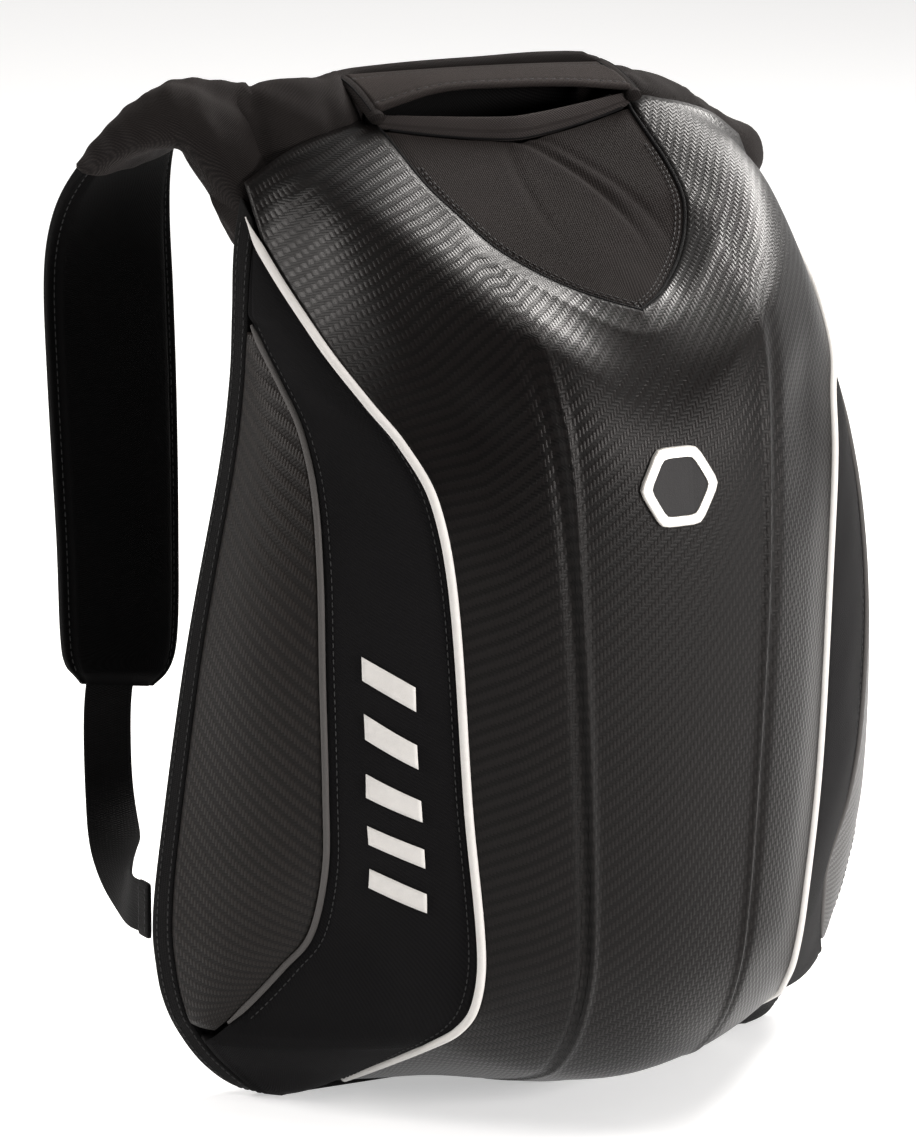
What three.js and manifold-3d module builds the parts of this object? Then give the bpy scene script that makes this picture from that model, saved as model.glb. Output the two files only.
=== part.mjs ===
// A hard shell backpack, standing on the edge of its base.
// Millimetres, +Z up. The shell faces -Y, the wearer's back is on the +Y side, and the
// origin is the middle of the binding that the bag stands on.

import * as THREE from 'three';
import { mergeVertices } from 'three/addons/utils/BufferGeometryUtils.js';
import Module from 'manifold-3d';

// Body, without straps
const BODY_WIDTH = 386;
const BODY_DEPTH = 169;
const BODY_HEIGHT = 462;
const CLEARANCE = 0.3;

// Walls of the panels
const SHELL_WALL = 2.6;
const CLOTH_WALL = 2;
const PATCH_WALL = 1.8;
const LINING_WALL = 0.8;
const SEAM_ALLOWANCE = 1.2;

// Relief of the panels
const RIB_HEIGHT = 1.6;
const GROOVE_DEPTH = 1.6;
const WING_CROWN = 5;
const GUSSET_CROWN = 3;

// Edges
const PIPING_DIAMETER = 4.2;
const TRIM_DIAMETER = 3.2;
const BINDING_WIDTH = 10.5;
const BINDING_THICKNESS = 7;
const LIP_DIAMETER = 5;

// Back panel
const BACK_PADDING = 10;
const BACK_CROWN = 9;
const CHANNEL_DEPTH = 2.5;
const BACK_OVERLAP = 1;

// Top of the bag
const HANDLE_THICKNESS = 3;
const PATCH_SAG_POWER = 2;

// Straps
const STRAP_WIDTH = 67;
const STRAP_THICKNESS = 12;
const STRAP_REACH = 101;
const WEBBING_WIDTH = 25;
const WEBBING_THICKNESS = 1.8;
const ANCHOR_LENGTH = 10.8;
const ANCHOR_THICKNESS = 3;

// Badge
const BADGE_SIZE = 36;
const BADGE_RIM = 4.6;
const BADGE_THICKNESS = 2.2;
const INLAY_THICKNESS = 1.2;
const BADGE_HEIGHT_UP = 0.683;
const BADGE_CORNER_POWER = 16;

const HALF_WIDTH = BODY_WIDTH / 2;

// Rails of the right half, from the top corner (at 0) round the base (at 1). The columns
// are: at, then shares of half the width, of the depth towards the front, and of the height.
const BACK_EDGE = [
  [0.000, 0.694, -0.083, 0.946],
  [0.060, 0.741, -0.030, 0.892],
  [0.160, 0.777, 0.036, 0.825],
  [0.260, 0.803, 0.077, 0.762],
  [0.370, 0.845, 0.104, 0.675],
  [0.530, 0.933, 0.092, 0.485],
  [0.680, 0.992, 0.050, 0.273],
  [0.740, 1.000, 0.030, 0.201],
  [0.800, 0.984, 0.012, 0.152],
  [0.850, 0.960, 0.000, 0.113],
  [0.890, 0.920, -0.006, 0.078],
  [0.930, 0.850, -0.008, 0.038],
  [0.965, 0.765, -0.004, 0.010],
  [1.000, 0.663, 0.000, 0.000],
];
const TRIM_LINE = [
  [0.160, 0.751, 0.083, 0.826],
  [0.210, 0.753, 0.178, 0.799],
  [0.260, 0.744, 0.272, 0.766],
  [0.310, 0.736, 0.367, 0.729],
  [0.370, 0.738, 0.453, 0.673],
  [0.450, 0.748, 0.512, 0.589],
  [0.530, 0.754, 0.536, 0.485],
  [0.610, 0.744, 0.530, 0.364],
  [0.680, 0.730, 0.494, 0.284],
  [0.740, 0.725, 0.396, 0.208],
  [0.800, 0.762, 0.302, 0.165],
  [0.850, 0.819, 0.183, 0.113],
  [0.890, 0.881, 0.071, 0.069],
];
const PIPING_LINE = [
  [0.000, 0.699, -0.053, 0.931],
  [0.060, 0.694, 0.047, 0.895],
  [0.160, 0.684, 0.310, 0.832],
  [0.210, 0.671, 0.425, 0.801],
  [0.260, 0.637, 0.556, 0.763],
  [0.310, 0.591, 0.651, 0.727],
  [0.370, 0.549, 0.746, 0.675],
  [0.450, 0.518, 0.790, 0.580],
  [0.610, 0.484, 0.805, 0.359],
  [0.740, 0.446, 0.799, 0.208],
  [0.800, 0.443, 0.757, 0.150],
  [0.850, 0.456, 0.680, 0.117],
  [0.890, 0.487, 0.574, 0.093],
  [0.965, 0.516, 0.260, 0.038],
  [1.000, 0.528, 0.075, 0.008],
];
const FLANK_LINE = [
  [0.060, 0.572, 0.120, 0.961],
  [0.110, 0.582, 0.255, 0.936],
  [0.160, 0.580, 0.378, 0.902],
  [0.210, 0.567, 0.506, 0.860],
  [0.260, 0.534, 0.634, 0.809],
  [0.310, 0.482, 0.734, 0.755],
  [0.370, 0.446, 0.817, 0.693],
  [0.450, 0.409, 0.882, 0.595],
  [0.610, 0.373, 0.905, 0.379],
  [0.740, 0.337, 0.888, 0.212],
  [0.800, 0.321, 0.840, 0.152],
  [0.850, 0.326, 0.751, 0.104],
  [0.890, 0.337, 0.627, 0.069],
  [0.965, 0.352, 0.308, 0.030],
  [1.000, 0.363, 0.075, 0.003],
];
const RIB_LINE = [
  [0.060, 0.308, 0.562, 0.896],
  [0.110, 0.308, 0.686, 0.870],
  [0.160, 0.301, 0.781, 0.846],
  [0.210, 0.293, 0.846, 0.816],
  [0.310, 0.271, 0.926, 0.725],
  [0.450, 0.254, 0.966, 0.567],
  [0.610, 0.228, 0.967, 0.372],
  [0.740, 0.209, 0.941, 0.208],
  [0.800, 0.205, 0.888, 0.143],
  [0.850, 0.202, 0.799, 0.093],
  [0.890, 0.199, 0.663, 0.054],
  [0.965, 0.197, 0.325, 0.016],
  [1.000, 0.197, 0.075, 0.002],
];
const CENTRE_LINE = [
  [0.060, 0, 0.817, 0.827],
  [0.160, 0, 0.893, 0.779],
  [0.260, 0, 0.953, 0.723],
  [0.370, 0, 0.988, 0.641],
  [0.530, 0, 1.000, 0.472],
  [0.680, 0, 0.988, 0.286],
  [0.740, 0, 0.970, 0.210],
  [0.800, 0, 0.926, 0.145],
  [0.850, 0, 0.840, 0.091],
  [0.890, 0, 0.704, 0.048],
  [0.930, 0, 0.490, 0.022],
  [0.965, 0, 0.275, 0.000],
  [1.000, 0, 0.075, 0.000],
];

// Top edge of the shell: round the V from its tip (0) to its corner (1), then along the
// seam with the yoke to the top corner (2)
const SHELL_TOP = [
  [0.00, 0.000, 0.772, 0.847],
  [0.20, 0.074, 0.721, 0.857],
  [0.35, 0.131, 0.659, 0.866],
  [0.50, 0.201, 0.577, 0.882],
  [0.64, 0.265, 0.481, 0.903],
  [0.76, 0.309, 0.380, 0.928],
  [0.88, 0.337, 0.224, 0.955],
  [1.00, 0.354, -0.024, 0.999],
  [1.30, 0.459, -0.036, 0.998],
  [1.65, 0.585, -0.041, 0.981],
  [2.00, 0.689, -0.074, 0.951],
];
// Low middle of the hand pocket's edge
const POCKET_LOW = [0, 0.073, 0.954];

// Columns of the shell, from the middle (0) over the rib (1) and flank (2) to the piping (3)
const SHELL_COLUMNS = [0, 0.25, 0.5, 0.75, 0.9, 1, 1.12, 1.3, 1.55, 1.8, 2, 2.25, 2.5, 2.75, 3];
const RIB_COLUMN = 1;
const GROOVE_COLUMN = 1.12;
const CORNER_COLUMN = 1.55;
const SHELL_ROWS = [
  0, 0.03, 0.06, 0.085, 0.11, 0.135, 0.16, 0.21, 0.26, 0.31, 0.37, 0.45, 0.53, 0.61, 0.68,
  0.74, 0.77, 0.8, 0.825, 0.85, 0.87, 0.89, 0.93, 0.965, 1,
];
const RIB_START = 0.13;
const RIB_FULL = 0.3;
const TOP_BAND = 0.06;

// Yoke, section by section from left to right. The columns are the place across and then
// pairs (rearward, up) of five corners: front seam, crest, rear, rear foot, front foot.
// Across is a share of half the width, rearward of the depth and up of the height.
const YOKE = [
  [-0.705, 0.125, 0.966, 0.260, 1.032, 0.415, 1.004, 0.350, 0.944, 0.085, 0.886],
  [-0.640, 0.095, 0.961, 0.250, 1.041, 0.412, 1.004, 0.260, 0.868, 0.045, 0.864],
  [-0.560, 0.066, 0.984, 0.240, 1.048, 0.395, 1.009, 0.200, 0.863, 0.030, 0.863],
  [-0.373, 0.052, 1.001, 0.235, 1.052, 0.370, 1.017, 0.180, 0.863, 0.030, 0.863],
  [0.000, 0.052, 1.001, 0.260, 1.052, 0.365, 1.017, 0.180, 0.863, 0.030, 0.863],
  [0.373, 0.052, 1.001, 0.215, 1.030, 0.355, 1.009, 0.180, 0.863, 0.030, 0.863],
  [0.560, 0.066, 0.984, 0.215, 1.006, 0.350, 0.980, 0.190, 0.863, 0.030, 0.863],
  [0.665, 0.095, 0.956, 0.205, 0.976, 0.335, 0.950, 0.265, 0.876, 0.050, 0.866],
];

// Carry handle: corners at its ends and middle (across, then rearward and up of the front
// edge, then of the rear edge), as shares of half the width, the depth and the height
const HANDLE = [
  [-0.352, 0.010, 1.012, 0.216, 1.037],
  [-0.180, 0.014, 1.019, 0.216, 1.033],
  [0.000, 0.016, 1.021, 0.216, 1.031],
  [0.180, 0.014, 1.019, 0.216, 1.033],
  [0.352, 0.010, 1.012, 0.216, 1.037],
];

// Padded strap from the yoke's end: outward, rearward and up of its middle, the way that its
// width faces (outward, rearward, up) and its width. Outward is a share of half the width,
// rearward of the strap's reach, up of the height, and the last is a share of its width.
const STRAP = [
  [0.712, 0.500, 1.010, 0.00, 1.00, -0.12, 0.78],
  [0.760, 0.525, 1.015, -0.30, 0.95, -0.12, 0.80],
  [0.798, 0.590, 1.007, -0.60, 0.80, -0.12, 0.83],
  [0.822, 0.690, 0.987, -0.80, 0.60, -0.10, 0.87],
  [0.832, 0.810, 0.959, -0.92, 0.40, -0.05, 0.90],
  [0.838, 0.920, 0.918, -0.98, 0.20, 0.00, 0.95],
  [0.838, 0.985, 0.870, -1.00, 0.08, 0.00, 0.99],
  [0.836, 1.000, 0.815, -1.00, 0.00, 0.00, 1.00],
  [0.832, 0.990, 0.730, -1.00, 0.00, 0.00, 1.00],
  [0.829, 0.975, 0.640, -1.00, 0.00, 0.00, 0.98],
  [0.827, 0.960, 0.550, -1.00, 0.00, 0.00, 0.95],
  [0.828, 0.950, 0.450, -1.00, 0.00, 0.00, 0.92],
  [0.832, 0.945, 0.415, -1.00, 0.00, 0.00, 0.82],
  [0.838, 0.943, 0.395, -1.00, 0.00, 0.00, 0.58],
];

// Webbing from the strap's end to its tab: the same columns without the width
const WEBBING = [
  [0.862, 0.940, 0.393, -1.00, 0.00, 0.00],
  [0.868, 0.935, 0.350, -1.00, 0.00, 0.00],
  [0.872, 0.910, 0.300, -1.00, 0.00, 0.05],
  [0.882, 0.840, 0.265, -0.96, 0.00, 0.22],
  [0.900, 0.730, 0.240, -0.84, 0.00, 0.50],
  [0.926, 0.590, 0.224, -0.62, 0.00, 0.78],
  [0.955, 0.420, 0.214, -0.32, 0.00, 0.94],
  [0.985, 0.240, 0.209, -0.08, 0.00, 1.00],
  [0.985, 0.122, 0.209, 0.00, 0.00, 1.00],
];
const ANCHOR_PLACE = [0.988, 0.209];

// How each side's strap hangs: shift of its root, share of its outward sweep, inward swing of
// its lower part and drop of its top
const STRAP_POSES = [
  { name: 'left', side: -1, root: 0, sweep: 1, swing: 0, drop: 0 },
  { name: 'right', side: 1, root: -5, sweep: 0.35, swing: 22, drop: 44 },
];

const FINISH = {
  film: { color: 0x37353a, roughness: 0.5, metalness: 0 },
  cloth: { color: 0x121214, roughness: 0.9, metalness: 0 },
  twill: { color: 0x2c2728, roughness: 0.8, metalness: 0 },
  reflective: { color: 0xdedbd6, roughness: 0.45, metalness: 0 },
  greyTrim: { color: 0x55534f, roughness: 0.6, metalness: 0 },
  webbing: { color: 0x0c0c0d, roughness: 0.85, metalness: 0 },
  inlay: { color: 0x242326, roughness: 0.6, metalness: 0 },
};

const wasm = await Module();
wasm.setup();

const bag = new THREE.Group();

// Geometry helpers

function vector(out, fore, up) {
  return new THREE.Vector3(out * HALF_WIDTH, -fore * BODY_DEPTH, up * BODY_HEIGHT);
}

function smoothStep(value, low, high) {
  const share = THREE.MathUtils.clamp((value - low) / (high - low), 0, 1);
  return share * share * (3 - 2 * share);
}

// A smooth curve through a table's rows, read at any value of its first column
function rail(rows) {
  const places = rows.map((row) => row[0]);
  const points = rows.map((row) => vector(row[1], row[2], row[3]));
  const slope = points.map((point, i) => {
    const before = Math.max(i - 1, 0);
    const after = Math.min(i + 1, points.length - 1);
    return points[after].clone().sub(points[before]).divideScalar(places[after] - places[before]);
  });
  return (at) => {
    let i = 0;
    while (i < places.length - 2 && at > places[i + 1]) i += 1;
    const span = places[i + 1] - places[i];
    const t = THREE.MathUtils.clamp((at - places[i]) / span, 0, 1);
    const a = points[i].clone().multiplyScalar(2 * t ** 3 - 3 * t ** 2 + 1);
    const b = slope[i].clone().multiplyScalar((t ** 3 - 2 * t ** 2 + t) * span);
    const c = points[i + 1].clone().multiplyScalar(-2 * t ** 3 + 3 * t ** 2);
    const d = slope[i + 1].clone().multiplyScalar((t ** 3 - t ** 2) * span);
    return a.add(b).add(c).add(d);
  };
}

function signedVolume(positions, index) {
  let volume = 0;
  for (let i = 0; i < index.length; i += 3) {
    const a = positions[index[i]];
    const b = positions[index[i + 1]];
    const c = positions[index[i + 2]];
    volume += a.dot(b.clone().cross(c)) / 6;
  }
  return volume;
}

// A closed body from triangles on shared points, turned so that its faces point out
function body(positions, index) {
  const outward = signedVolume(positions, index) > 0;
  const faces = [];
  for (let i = 0; i < index.length; i += 3) {
    const [a, b, c] = [index[i], index[i + 1], index[i + 2]];
    faces.push(...(outward ? [a, b, c] : [a, c, b]));
  }
  const geometry = new THREE.BufferGeometry();
  const flat = positions.flatMap((p) => [p.x, p.y, p.z]);
  geometry.setAttribute('position', new THREE.Float32BufferAttribute(flat, 3));
  geometry.setIndex(faces);
  return geometry;
}

// A body from closed sections of equal point counts. Its ends are zipped shut, or it
// closes on itself as a ring.
function loft(sections, ring = false) {
  const count = sections[0].length;
  const index = [];
  const spans = ring ? sections.length : sections.length - 1;
  for (let i = 0; i < spans; i += 1) {
    const here = i * count;
    const next = ((i + 1) % sections.length) * count;
    for (let j = 0; j < count; j += 1) {
      const k = (j + 1) % count;
      index.push(here + j, next + j, next + k, here + j, next + k, here + k);
    }
  }
  if (!ring) {
    const last = (sections.length - 1) * count;
    for (let j = 0; j < count / 2 - 1; j += 1) {
      const mate = count - 1 - j;
      index.push(j, j + 1, mate, j + 1, mate - 1, mate);
      index.push(last + j, last + mate, last + j + 1, last + j + 1, last + mate, last + mate - 1);
    }
  }
  return body(sections.flat(), index);
}

// A slab between two grids of points
function slab(outer, inner) {
  return loft(outer.map((row, i) => [...row, ...inner[i].slice().reverse()]));
}

// The grid's points moved inward by a wall, square to its surface
function inset(grid, wall, centre = new THREE.Vector3(0, -BODY_DEPTH / 3, BODY_HEIGHT / 2)) {
  const normals = grid.map((row, i) => row.map((point, j) => {
    const down = grid[Math.min(i + 1, grid.length - 1)][j].clone();
    down.sub(grid[Math.max(i - 1, 0)][j]);
    const across = row[Math.min(j + 1, row.length - 1)].clone();
    across.sub(row[Math.max(j - 1, 0)]);
    return down.cross(across).normalize();
  }));
  let facing = 0;
  grid.forEach((row, i) => row.forEach((point, j) => {
    facing += normals[i][j].dot(point.clone().sub(centre));
  }));
  const step = -Math.sign(facing) * wall;
  return grid.map((row, i) => row.map((p, j) => p.clone().addScaledVector(normals[i][j], step)));
}

function sheet(grid, wall) {
  return slab(grid, inset(grid, wall));
}

// A round cord along a list of points
function cord(points, diameter, sides = 8) {
  const shape = new THREE.Shape();
  for (let i = 0; i < sides; i += 1) {
    const angle = (2 * Math.PI * i) / sides;
    const [x, y] = [Math.cos(angle) * diameter / 2, Math.sin(angle) * diameter / 2];
    if (i === 0) shape.moveTo(x, y);
    else shape.lineTo(x, y);
  }
  const path = new THREE.CatmullRomCurve3(points);
  const options = { steps: points.length, bevelEnabled: false, extrudePath: path };
  const geometry = new THREE.ExtrudeGeometry(shape, options);
  geometry.deleteAttribute('normal');
  geometry.deleteAttribute('uv');
  return mergeVertices(geometry, 1e-3);
}

function mirrored(geometry) {
  const copy = geometry.clone().applyMatrix4(new THREE.Matrix4().makeScale(-1, 1, 1));
  const index = copy.getIndex().array;
  for (let i = 0; i < index.length; i += 3) [index[i], index[i + 1]] = [index[i + 1], index[i]];
  return copy;
}

function toSolid(geometry) {
  const vertProperties = new Float32Array(geometry.getAttribute('position').array);
  const triVerts = new Uint32Array(geometry.getIndex().array);
  return new wasm.Manifold(new wasm.Mesh({ numProp: 3, vertProperties, triVerts }));
}

function fromSolid(solid) {
  const mesh = solid.getMesh();
  const geometry = new THREE.BufferGeometry();
  geometry.setAttribute('position', new THREE.Float32BufferAttribute(mesh.vertProperties, 3));
  geometry.setIndex(Array.from(mesh.triVerts));
  return geometry;
}

function piece(name, geometry, finish) {
  geometry.computeVertexNormals();
  const mesh = new THREE.Mesh(geometry, new THREE.MeshStandardMaterial(FINISH[finish]));
  mesh.name = name;
  bag.add(mesh);
}

function pair(name, geometry, finish) {
  piece(`${name}_left`, mirrored(geometry), finish);
  piece(`${name}_right`, geometry, finish);
}

function steps(low, high, count) {
  return Array.from({ length: count + 1 }, (_, i) => low + ((high - low) * i) / count);
}

function towards(from, to, distance) {
  return from.clone().add(to.clone().sub(from).setLength(distance));
}

// Rails

const backEdge = rail(BACK_EDGE);
const trimRail = rail(TRIM_LINE);
const pipingLine = rail(PIPING_LINE);
const flankLine = rail(FLANK_LINE);
const ribLine = rail(RIB_LINE);
const centreLine = rail(CENTRE_LINE);
const shellTop = rail(SHELL_TOP);
const TRIM_START = TRIM_LINE[0][0];
const TRIM_END = TRIM_LINE[TRIM_LINE.length - 1][0];
const BASE_TURN = 0.93;
const BASE_FRONT = -(BINDING_WIDTH + CLEARANCE);

// The way that the binding lies on the side of the bag, from the back edge
function bindingLies(at) {
  const target = at > TRIM_START && at < TRIM_END ? trimRail(at) : pipingLine(at);
  const along = target.sub(backEdge(at)).normalize();
  return along.lerp(new THREE.Vector3(0, -1, 0), smoothStep(at, BASE_TURN, 1)).normalize();
}

// The trim, or where there is none the inner edge of the binding
function trimLine(at) {
  const edge = backEdge(at).addScaledVector(bindingLies(at), BINDING_WIDTH + CLEARANCE);
  if (at <= TRIM_START || at >= TRIM_END) return edge;
  const trim = trimRail(at);
  const reach = trim.distanceTo(backEdge(at));
  return reach > BINDING_WIDTH + CLEARANCE ? trim : edge;
}

// Outward way of the bag's side at a place between two rails
function sideways(at, from, to) {
  const ahead = from(Math.min(at + 0.01, 1)).sub(from(Math.max(at - 0.01, 0)));
  const out = to(at).sub(from(at)).cross(ahead).normalize();
  return out.x < 0 ? out.negate() : out;
}

// A side panel between two rails of the bag, crowned outward
function sidePanel(from, to, rows, columns, startGap, endGap, crown) {
  return rows.map((at) => {
    const start = towards(from(at), to(at), startGap);
    const end = towards(to(at), from(at), endGap);
    const out = sideways(at, from, to);
    const width = start.distanceTo(end);
    const rise = Math.min(crown, width * 0.07);
    return steps(0, 1, columns).map((share) => {
      const bulge = rise * Math.sin(Math.PI * share);
      return start.clone().lerp(end, share).addScaledVector(out, bulge);
    });
  });
}

// Half of each seam's cord, with room beside it
const trimGap = TRIM_DIAMETER / 2 + CLEARANCE + SEAM_ALLOWANCE;
const pipingGap = PIPING_DIAMETER / 2 + CLEARANCE + SEAM_ALLOWANCE;

// Hard shell

function sectionPoint(column, at) {
  const points = [
    ribLine(at).multiply(new THREE.Vector3(-1, 1, 1)),
    centreLine(at), ribLine(at), flankLine(at), pipingLine(at),
  ];
  const curve = new THREE.CatmullRomCurve3(points);
  return curve.getPoint((column + 1) / 4);
}

function topPoint(column) {
  const share = column < CORNER_COLUMN
    ? column / CORNER_COLUMN
    : 1 + (column - CORNER_COLUMN) / (3 - CORNER_COLUMN);
  return shellTop(share);
}

function ribRelief(column, at) {
  const fade = smoothStep(at, RIB_START, RIB_FULL) * (1 - smoothStep(at, BASE_TURN, 1));
  if (column === RIB_COLUMN) return RIB_HEIGHT * fade;
  if (column === GROOVE_COLUMN) return -GROOVE_DEPTH * fade;
  return 0;
}

function shellPoint(column, at) {
  let point = sectionPoint(column, Math.max(at, TOP_BAND));
  if (column === 3) point = pipingLine(at);
  if (at < TOP_BAND && column < 3) point = topPoint(column).lerp(point, at / TOP_BAND);
  const out = new THREE.Vector3(point.x, point.y + BODY_DEPTH / 4, 0).normalize();
  point.addScaledVector(out, ribRelief(column, at));
  if (at === 1) point.y = BASE_FRONT;
  return point;
}

function shellRow(at) {
  const half = SHELL_COLUMNS.map((column) => shellPoint(column, at));
  const last = half.length - 1;
  half[last] = towards(half[last], half[last - 1], pipingGap);
  const left = half.slice(1).reverse().map((p) => new THREE.Vector3(-p.x, p.y, p.z));
  return [...left, ...half];
}

// The shell's edges: square to the patch round the V, square to the yoke along the seam,
// and level with the binding at the base
function hardShell() {
  const rows = SHELL_ROWS.map(shellRow);
  const inner = inset(rows, SHELL_WALL);
  inner[0] = rows[0].map((point) => {
    const inside = Math.abs(point.x) < shellTop(1).x;
    const down = inside ? new THREE.Vector3(0, 0.39, -0.92) : new THREE.Vector3(0, -0.3, -0.95);
    return point.clone().addScaledVector(down, SHELL_WALL);
  });
  inner[inner.length - 1].forEach((point) => { point.y = BASE_FRONT; });
  return slab(rows, inner);
}

piece('hard_shell', hardShell(), 'film');

// Woven patch in the shell's V, the rolled edge of the hand pocket and its lining

const pocketLow = vector(...POCKET_LOW);
const patchCorner = shellTop(1);
const patchTip = shellTop(0);
const patchFacing = new THREE.Vector3(0, -0.42, 0.9);

// The patch's edge, beside the shell's edge and inside the V
function patchEdge(share) {
  const along = shellTop(Math.min(share + 0.02, 1)).sub(shellTop(Math.max(share - 0.02, 0)));
  const inward = patchFacing.clone().cross(along).setLength(SEAM_ALLOWANCE + CLEARANCE);
  return shellTop(share).add(inward);
}

function pocketEdge(share) {
  const sag = Math.abs(share) ** PATCH_SAG_POWER;
  const point = pocketLow.clone().lerp(patchCorner, sag);
  point.x = share * (patchCorner.x - LIP_DIAMETER);
  return point;
}

function topPatch() {
  const tip = patchEdge(0);
  const rows = steps(0, 1, 14).map((down) => {
    const edge = patchEdge(1 - down);
    const low = pocketLow.clone().lerp(tip, down);
    const width = Math.max(edge.x, CLEARANCE);
    const back = down === 0 ? LIP_DIAMETER / 2 + CLEARANCE : 0;
    return steps(-1, 1, 12).map((share) => {
      const point = low.clone().lerp(edge, share * share);
      point.x = share * width;
      point.y -= back;
      point.z -= SEAM_ALLOWANCE + back / 2;
      return point;
    });
  });
  return sheet(rows, PATCH_WALL);
}

function pocketLip() {
  return cord(steps(-1, 1, 14).map(pocketEdge), LIP_DIAMETER);
}

function pocketLining() {
  const rearWall = HANDLE[0][3] * BODY_DEPTH - LINING_WALL;
  const rows = steps(-0.94, 0.94, 14).map((share) => {
    const lip = pocketEdge(share);
    lip.y += LIP_DIAMETER / 2 + CLEARANCE;
    const floor = lip.z - LIP_DIAMETER / 2;
    const corner = new THREE.Vector3(lip.x, rearWall, floor + LIP_DIAMETER);
    return [
      new THREE.Vector3(lip.x, lip.y, lip.z - 1),
      new THREE.Vector3(lip.x, lip.y + (rearWall - lip.y) * 0.3, floor),
      new THREE.Vector3(lip.x, lip.y + (rearWall - lip.y) * 0.8, floor),
      corner,
      new THREE.Vector3(lip.x, rearWall, HANDLE[2][4] * BODY_HEIGHT - 2 * HANDLE_THICKNESS),
    ];
  });
  const mouth = new THREE.Vector3(0, 0, BODY_HEIGHT);
  const lower = inset(rows, -LINING_WALL, mouth);
  return slab(rows, lower);
}

piece('top_patch', topPatch(), 'twill');
piece('pocket_lip', pocketLip(), 'twill');
piece('pocket_lining', pocketLining(), 'cloth');

// Carry handle across the pocket

function carryHandle() {
  const sections = HANDLE.map(([across, frontIn, frontUp, rearIn, rearUp]) => {
    const front = vector(across, -frontIn, frontUp);
    const rear = vector(across, -rearIn, rearUp);
    const lift = new THREE.Vector3(0, 0, HANDLE_THICKNESS);
    const quarter = front.clone().lerp(rear, 0.12);
    const threeQuarters = front.clone().lerp(rear, 0.88);
    return [
      front, quarter.clone().add(lift), threeQuarters.clone().add(lift), rear,
      threeQuarters, quarter,
    ];
  });
  return loft(sections);
}

piece('carry_handle', carryHandle(), 'twill');

// Yoke, cut away under and in front of the handle

function harnessYoke() {
  const sections = YOKE.map(([across, ...corners]) => {
    const points = [];
    for (let i = 0; i < corners.length; i += 2) {
      points.push(vector(across, -corners[i], corners[i + 1]));
    }
    const [front, crest, rear, rearFoot, frontFoot] = points;
    return [
      front,
      front.clone().lerp(crest, 0.5).add(new THREE.Vector3(0, -1, 3)),
      crest,
      crest.clone().lerp(rear, 0.55).add(new THREE.Vector3(0, 1, 2.5)),
      rear,
      rear.clone().lerp(rearFoot, 0.5),
      rearFoot,
      frontFoot,
    ];
  });
  const solid = toSolid(loft(sections));
  const handleEnd = HANDLE[HANDLE.length - 1];
  const width = 2 * handleEnd[0] * HALF_WIDTH + 2 * CLEARANCE;
  const rear = handleEnd[3] * BODY_DEPTH + CLEARANCE;
  const floor = pocketLow.z - LIP_DIAMETER - CLEARANCE;
  const block = new THREE.BoxGeometry(width, BODY_DEPTH, BODY_HEIGHT / 2);
  block.translate(0, rear - BODY_DEPTH / 2, floor + BODY_HEIGHT / 4);
  block.deleteAttribute('normal');
  block.deleteAttribute('uv');
  return fromSolid(solid.subtract(toSolid(mergeVertices(block))));
}

piece('harness_yoke', harnessYoke(), 'twill');

// Side wings and gussets

function wingStart(at) {
  return backEdge(at).addScaledVector(bindingLies(at), BINDING_WIDTH + CLEARANCE);
}

function sideWing() {
  const rows = [0.19, 0.22, 0.26, 0.31, 0.37, 0.45, 0.53, 0.61, 0.68, 0.74, 0.79, 0.83, 0.86, 0.873];
  return sheet(sidePanel(wingStart, trimLine, rows, 6, 0.01, trimGap, WING_CROWN), CLOTH_WALL);
}

function sideGusset() {
  const rows = [
    0.075, 0.09, 0.11, 0.16, 0.19, 0.22, 0.26, 0.31, 0.37, 0.45, 0.53, 0.61, 0.68, 0.74,
    0.77, 0.8, 0.825, 0.85, 0.86, 0.87, 0.88, 0.89, 0.91, 0.93, 0.95, 0.97, 0.985, 1,
  ];
  const grid = rows.map((at) => {
    const gap = at > TRIM_START && at < TRIM_END ? trimGap : 2 * SEAM_ALLOWANCE;
    return sidePanel(trimLine, pipingLine, [at], 6, gap, pipingGap, GUSSET_CROWN)[0];
  });
  grid[grid.length - 1].forEach((point) => { point.y = BASE_FRONT; });
  const inner = inset(grid, CLOTH_WALL);
  inner[inner.length - 1].forEach((point) => { point.y = BASE_FRONT; });
  return slab(grid, inner);
}

pair('side_wing', sideWing(), 'film');
pair('side_gusset', sideGusset(), 'cloth');

// Piping and trim

function piping() {
  const places = steps(0.05, 0.985, 48);
  return cord(places.map((at) => pipingLine(at)), PIPING_DIAMETER, 5);
}

function trim() {
  return cord(steps(TRIM_START + 0.02, TRIM_END - 0.03, 24).map(trimLine), TRIM_DIAMETER, 5);
}

pair('piping', piping(), 'reflective');
pair('trim', trim(), 'greyTrim');

// Binding round the back edge. It lies flat on what the bag stands on along the base.

function bindingSection(corner, along, inward) {
  const shares = [[0, 0.25], [0.12, 0], [0.9, 0], [1, 0.15], [1, 0.75], [0.9, 1], [0.12, 1], [0, 0.8]];
  return shares.map(([lie, deep]) => corner.clone()
    .addScaledVector(along, lie * BINDING_WIDTH)
    .addScaledVector(inward, deep * BINDING_THICKNESS));
}

// The way through the binding, into the bag
function bindingInward(at) {
  if (at === 1) return new THREE.Vector3(0, 0, 1);
  const ahead = backEdge(at + 0.01).sub(backEdge(Math.max(at - 0.01, 0)));
  const inward = ahead.cross(bindingLies(at)).normalize();
  const centre = new THREE.Vector3(0, 0, BODY_HEIGHT / 2).sub(backEdge(at));
  return inward.dot(centre) < 0 ? inward.negate() : inward;
}

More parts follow.
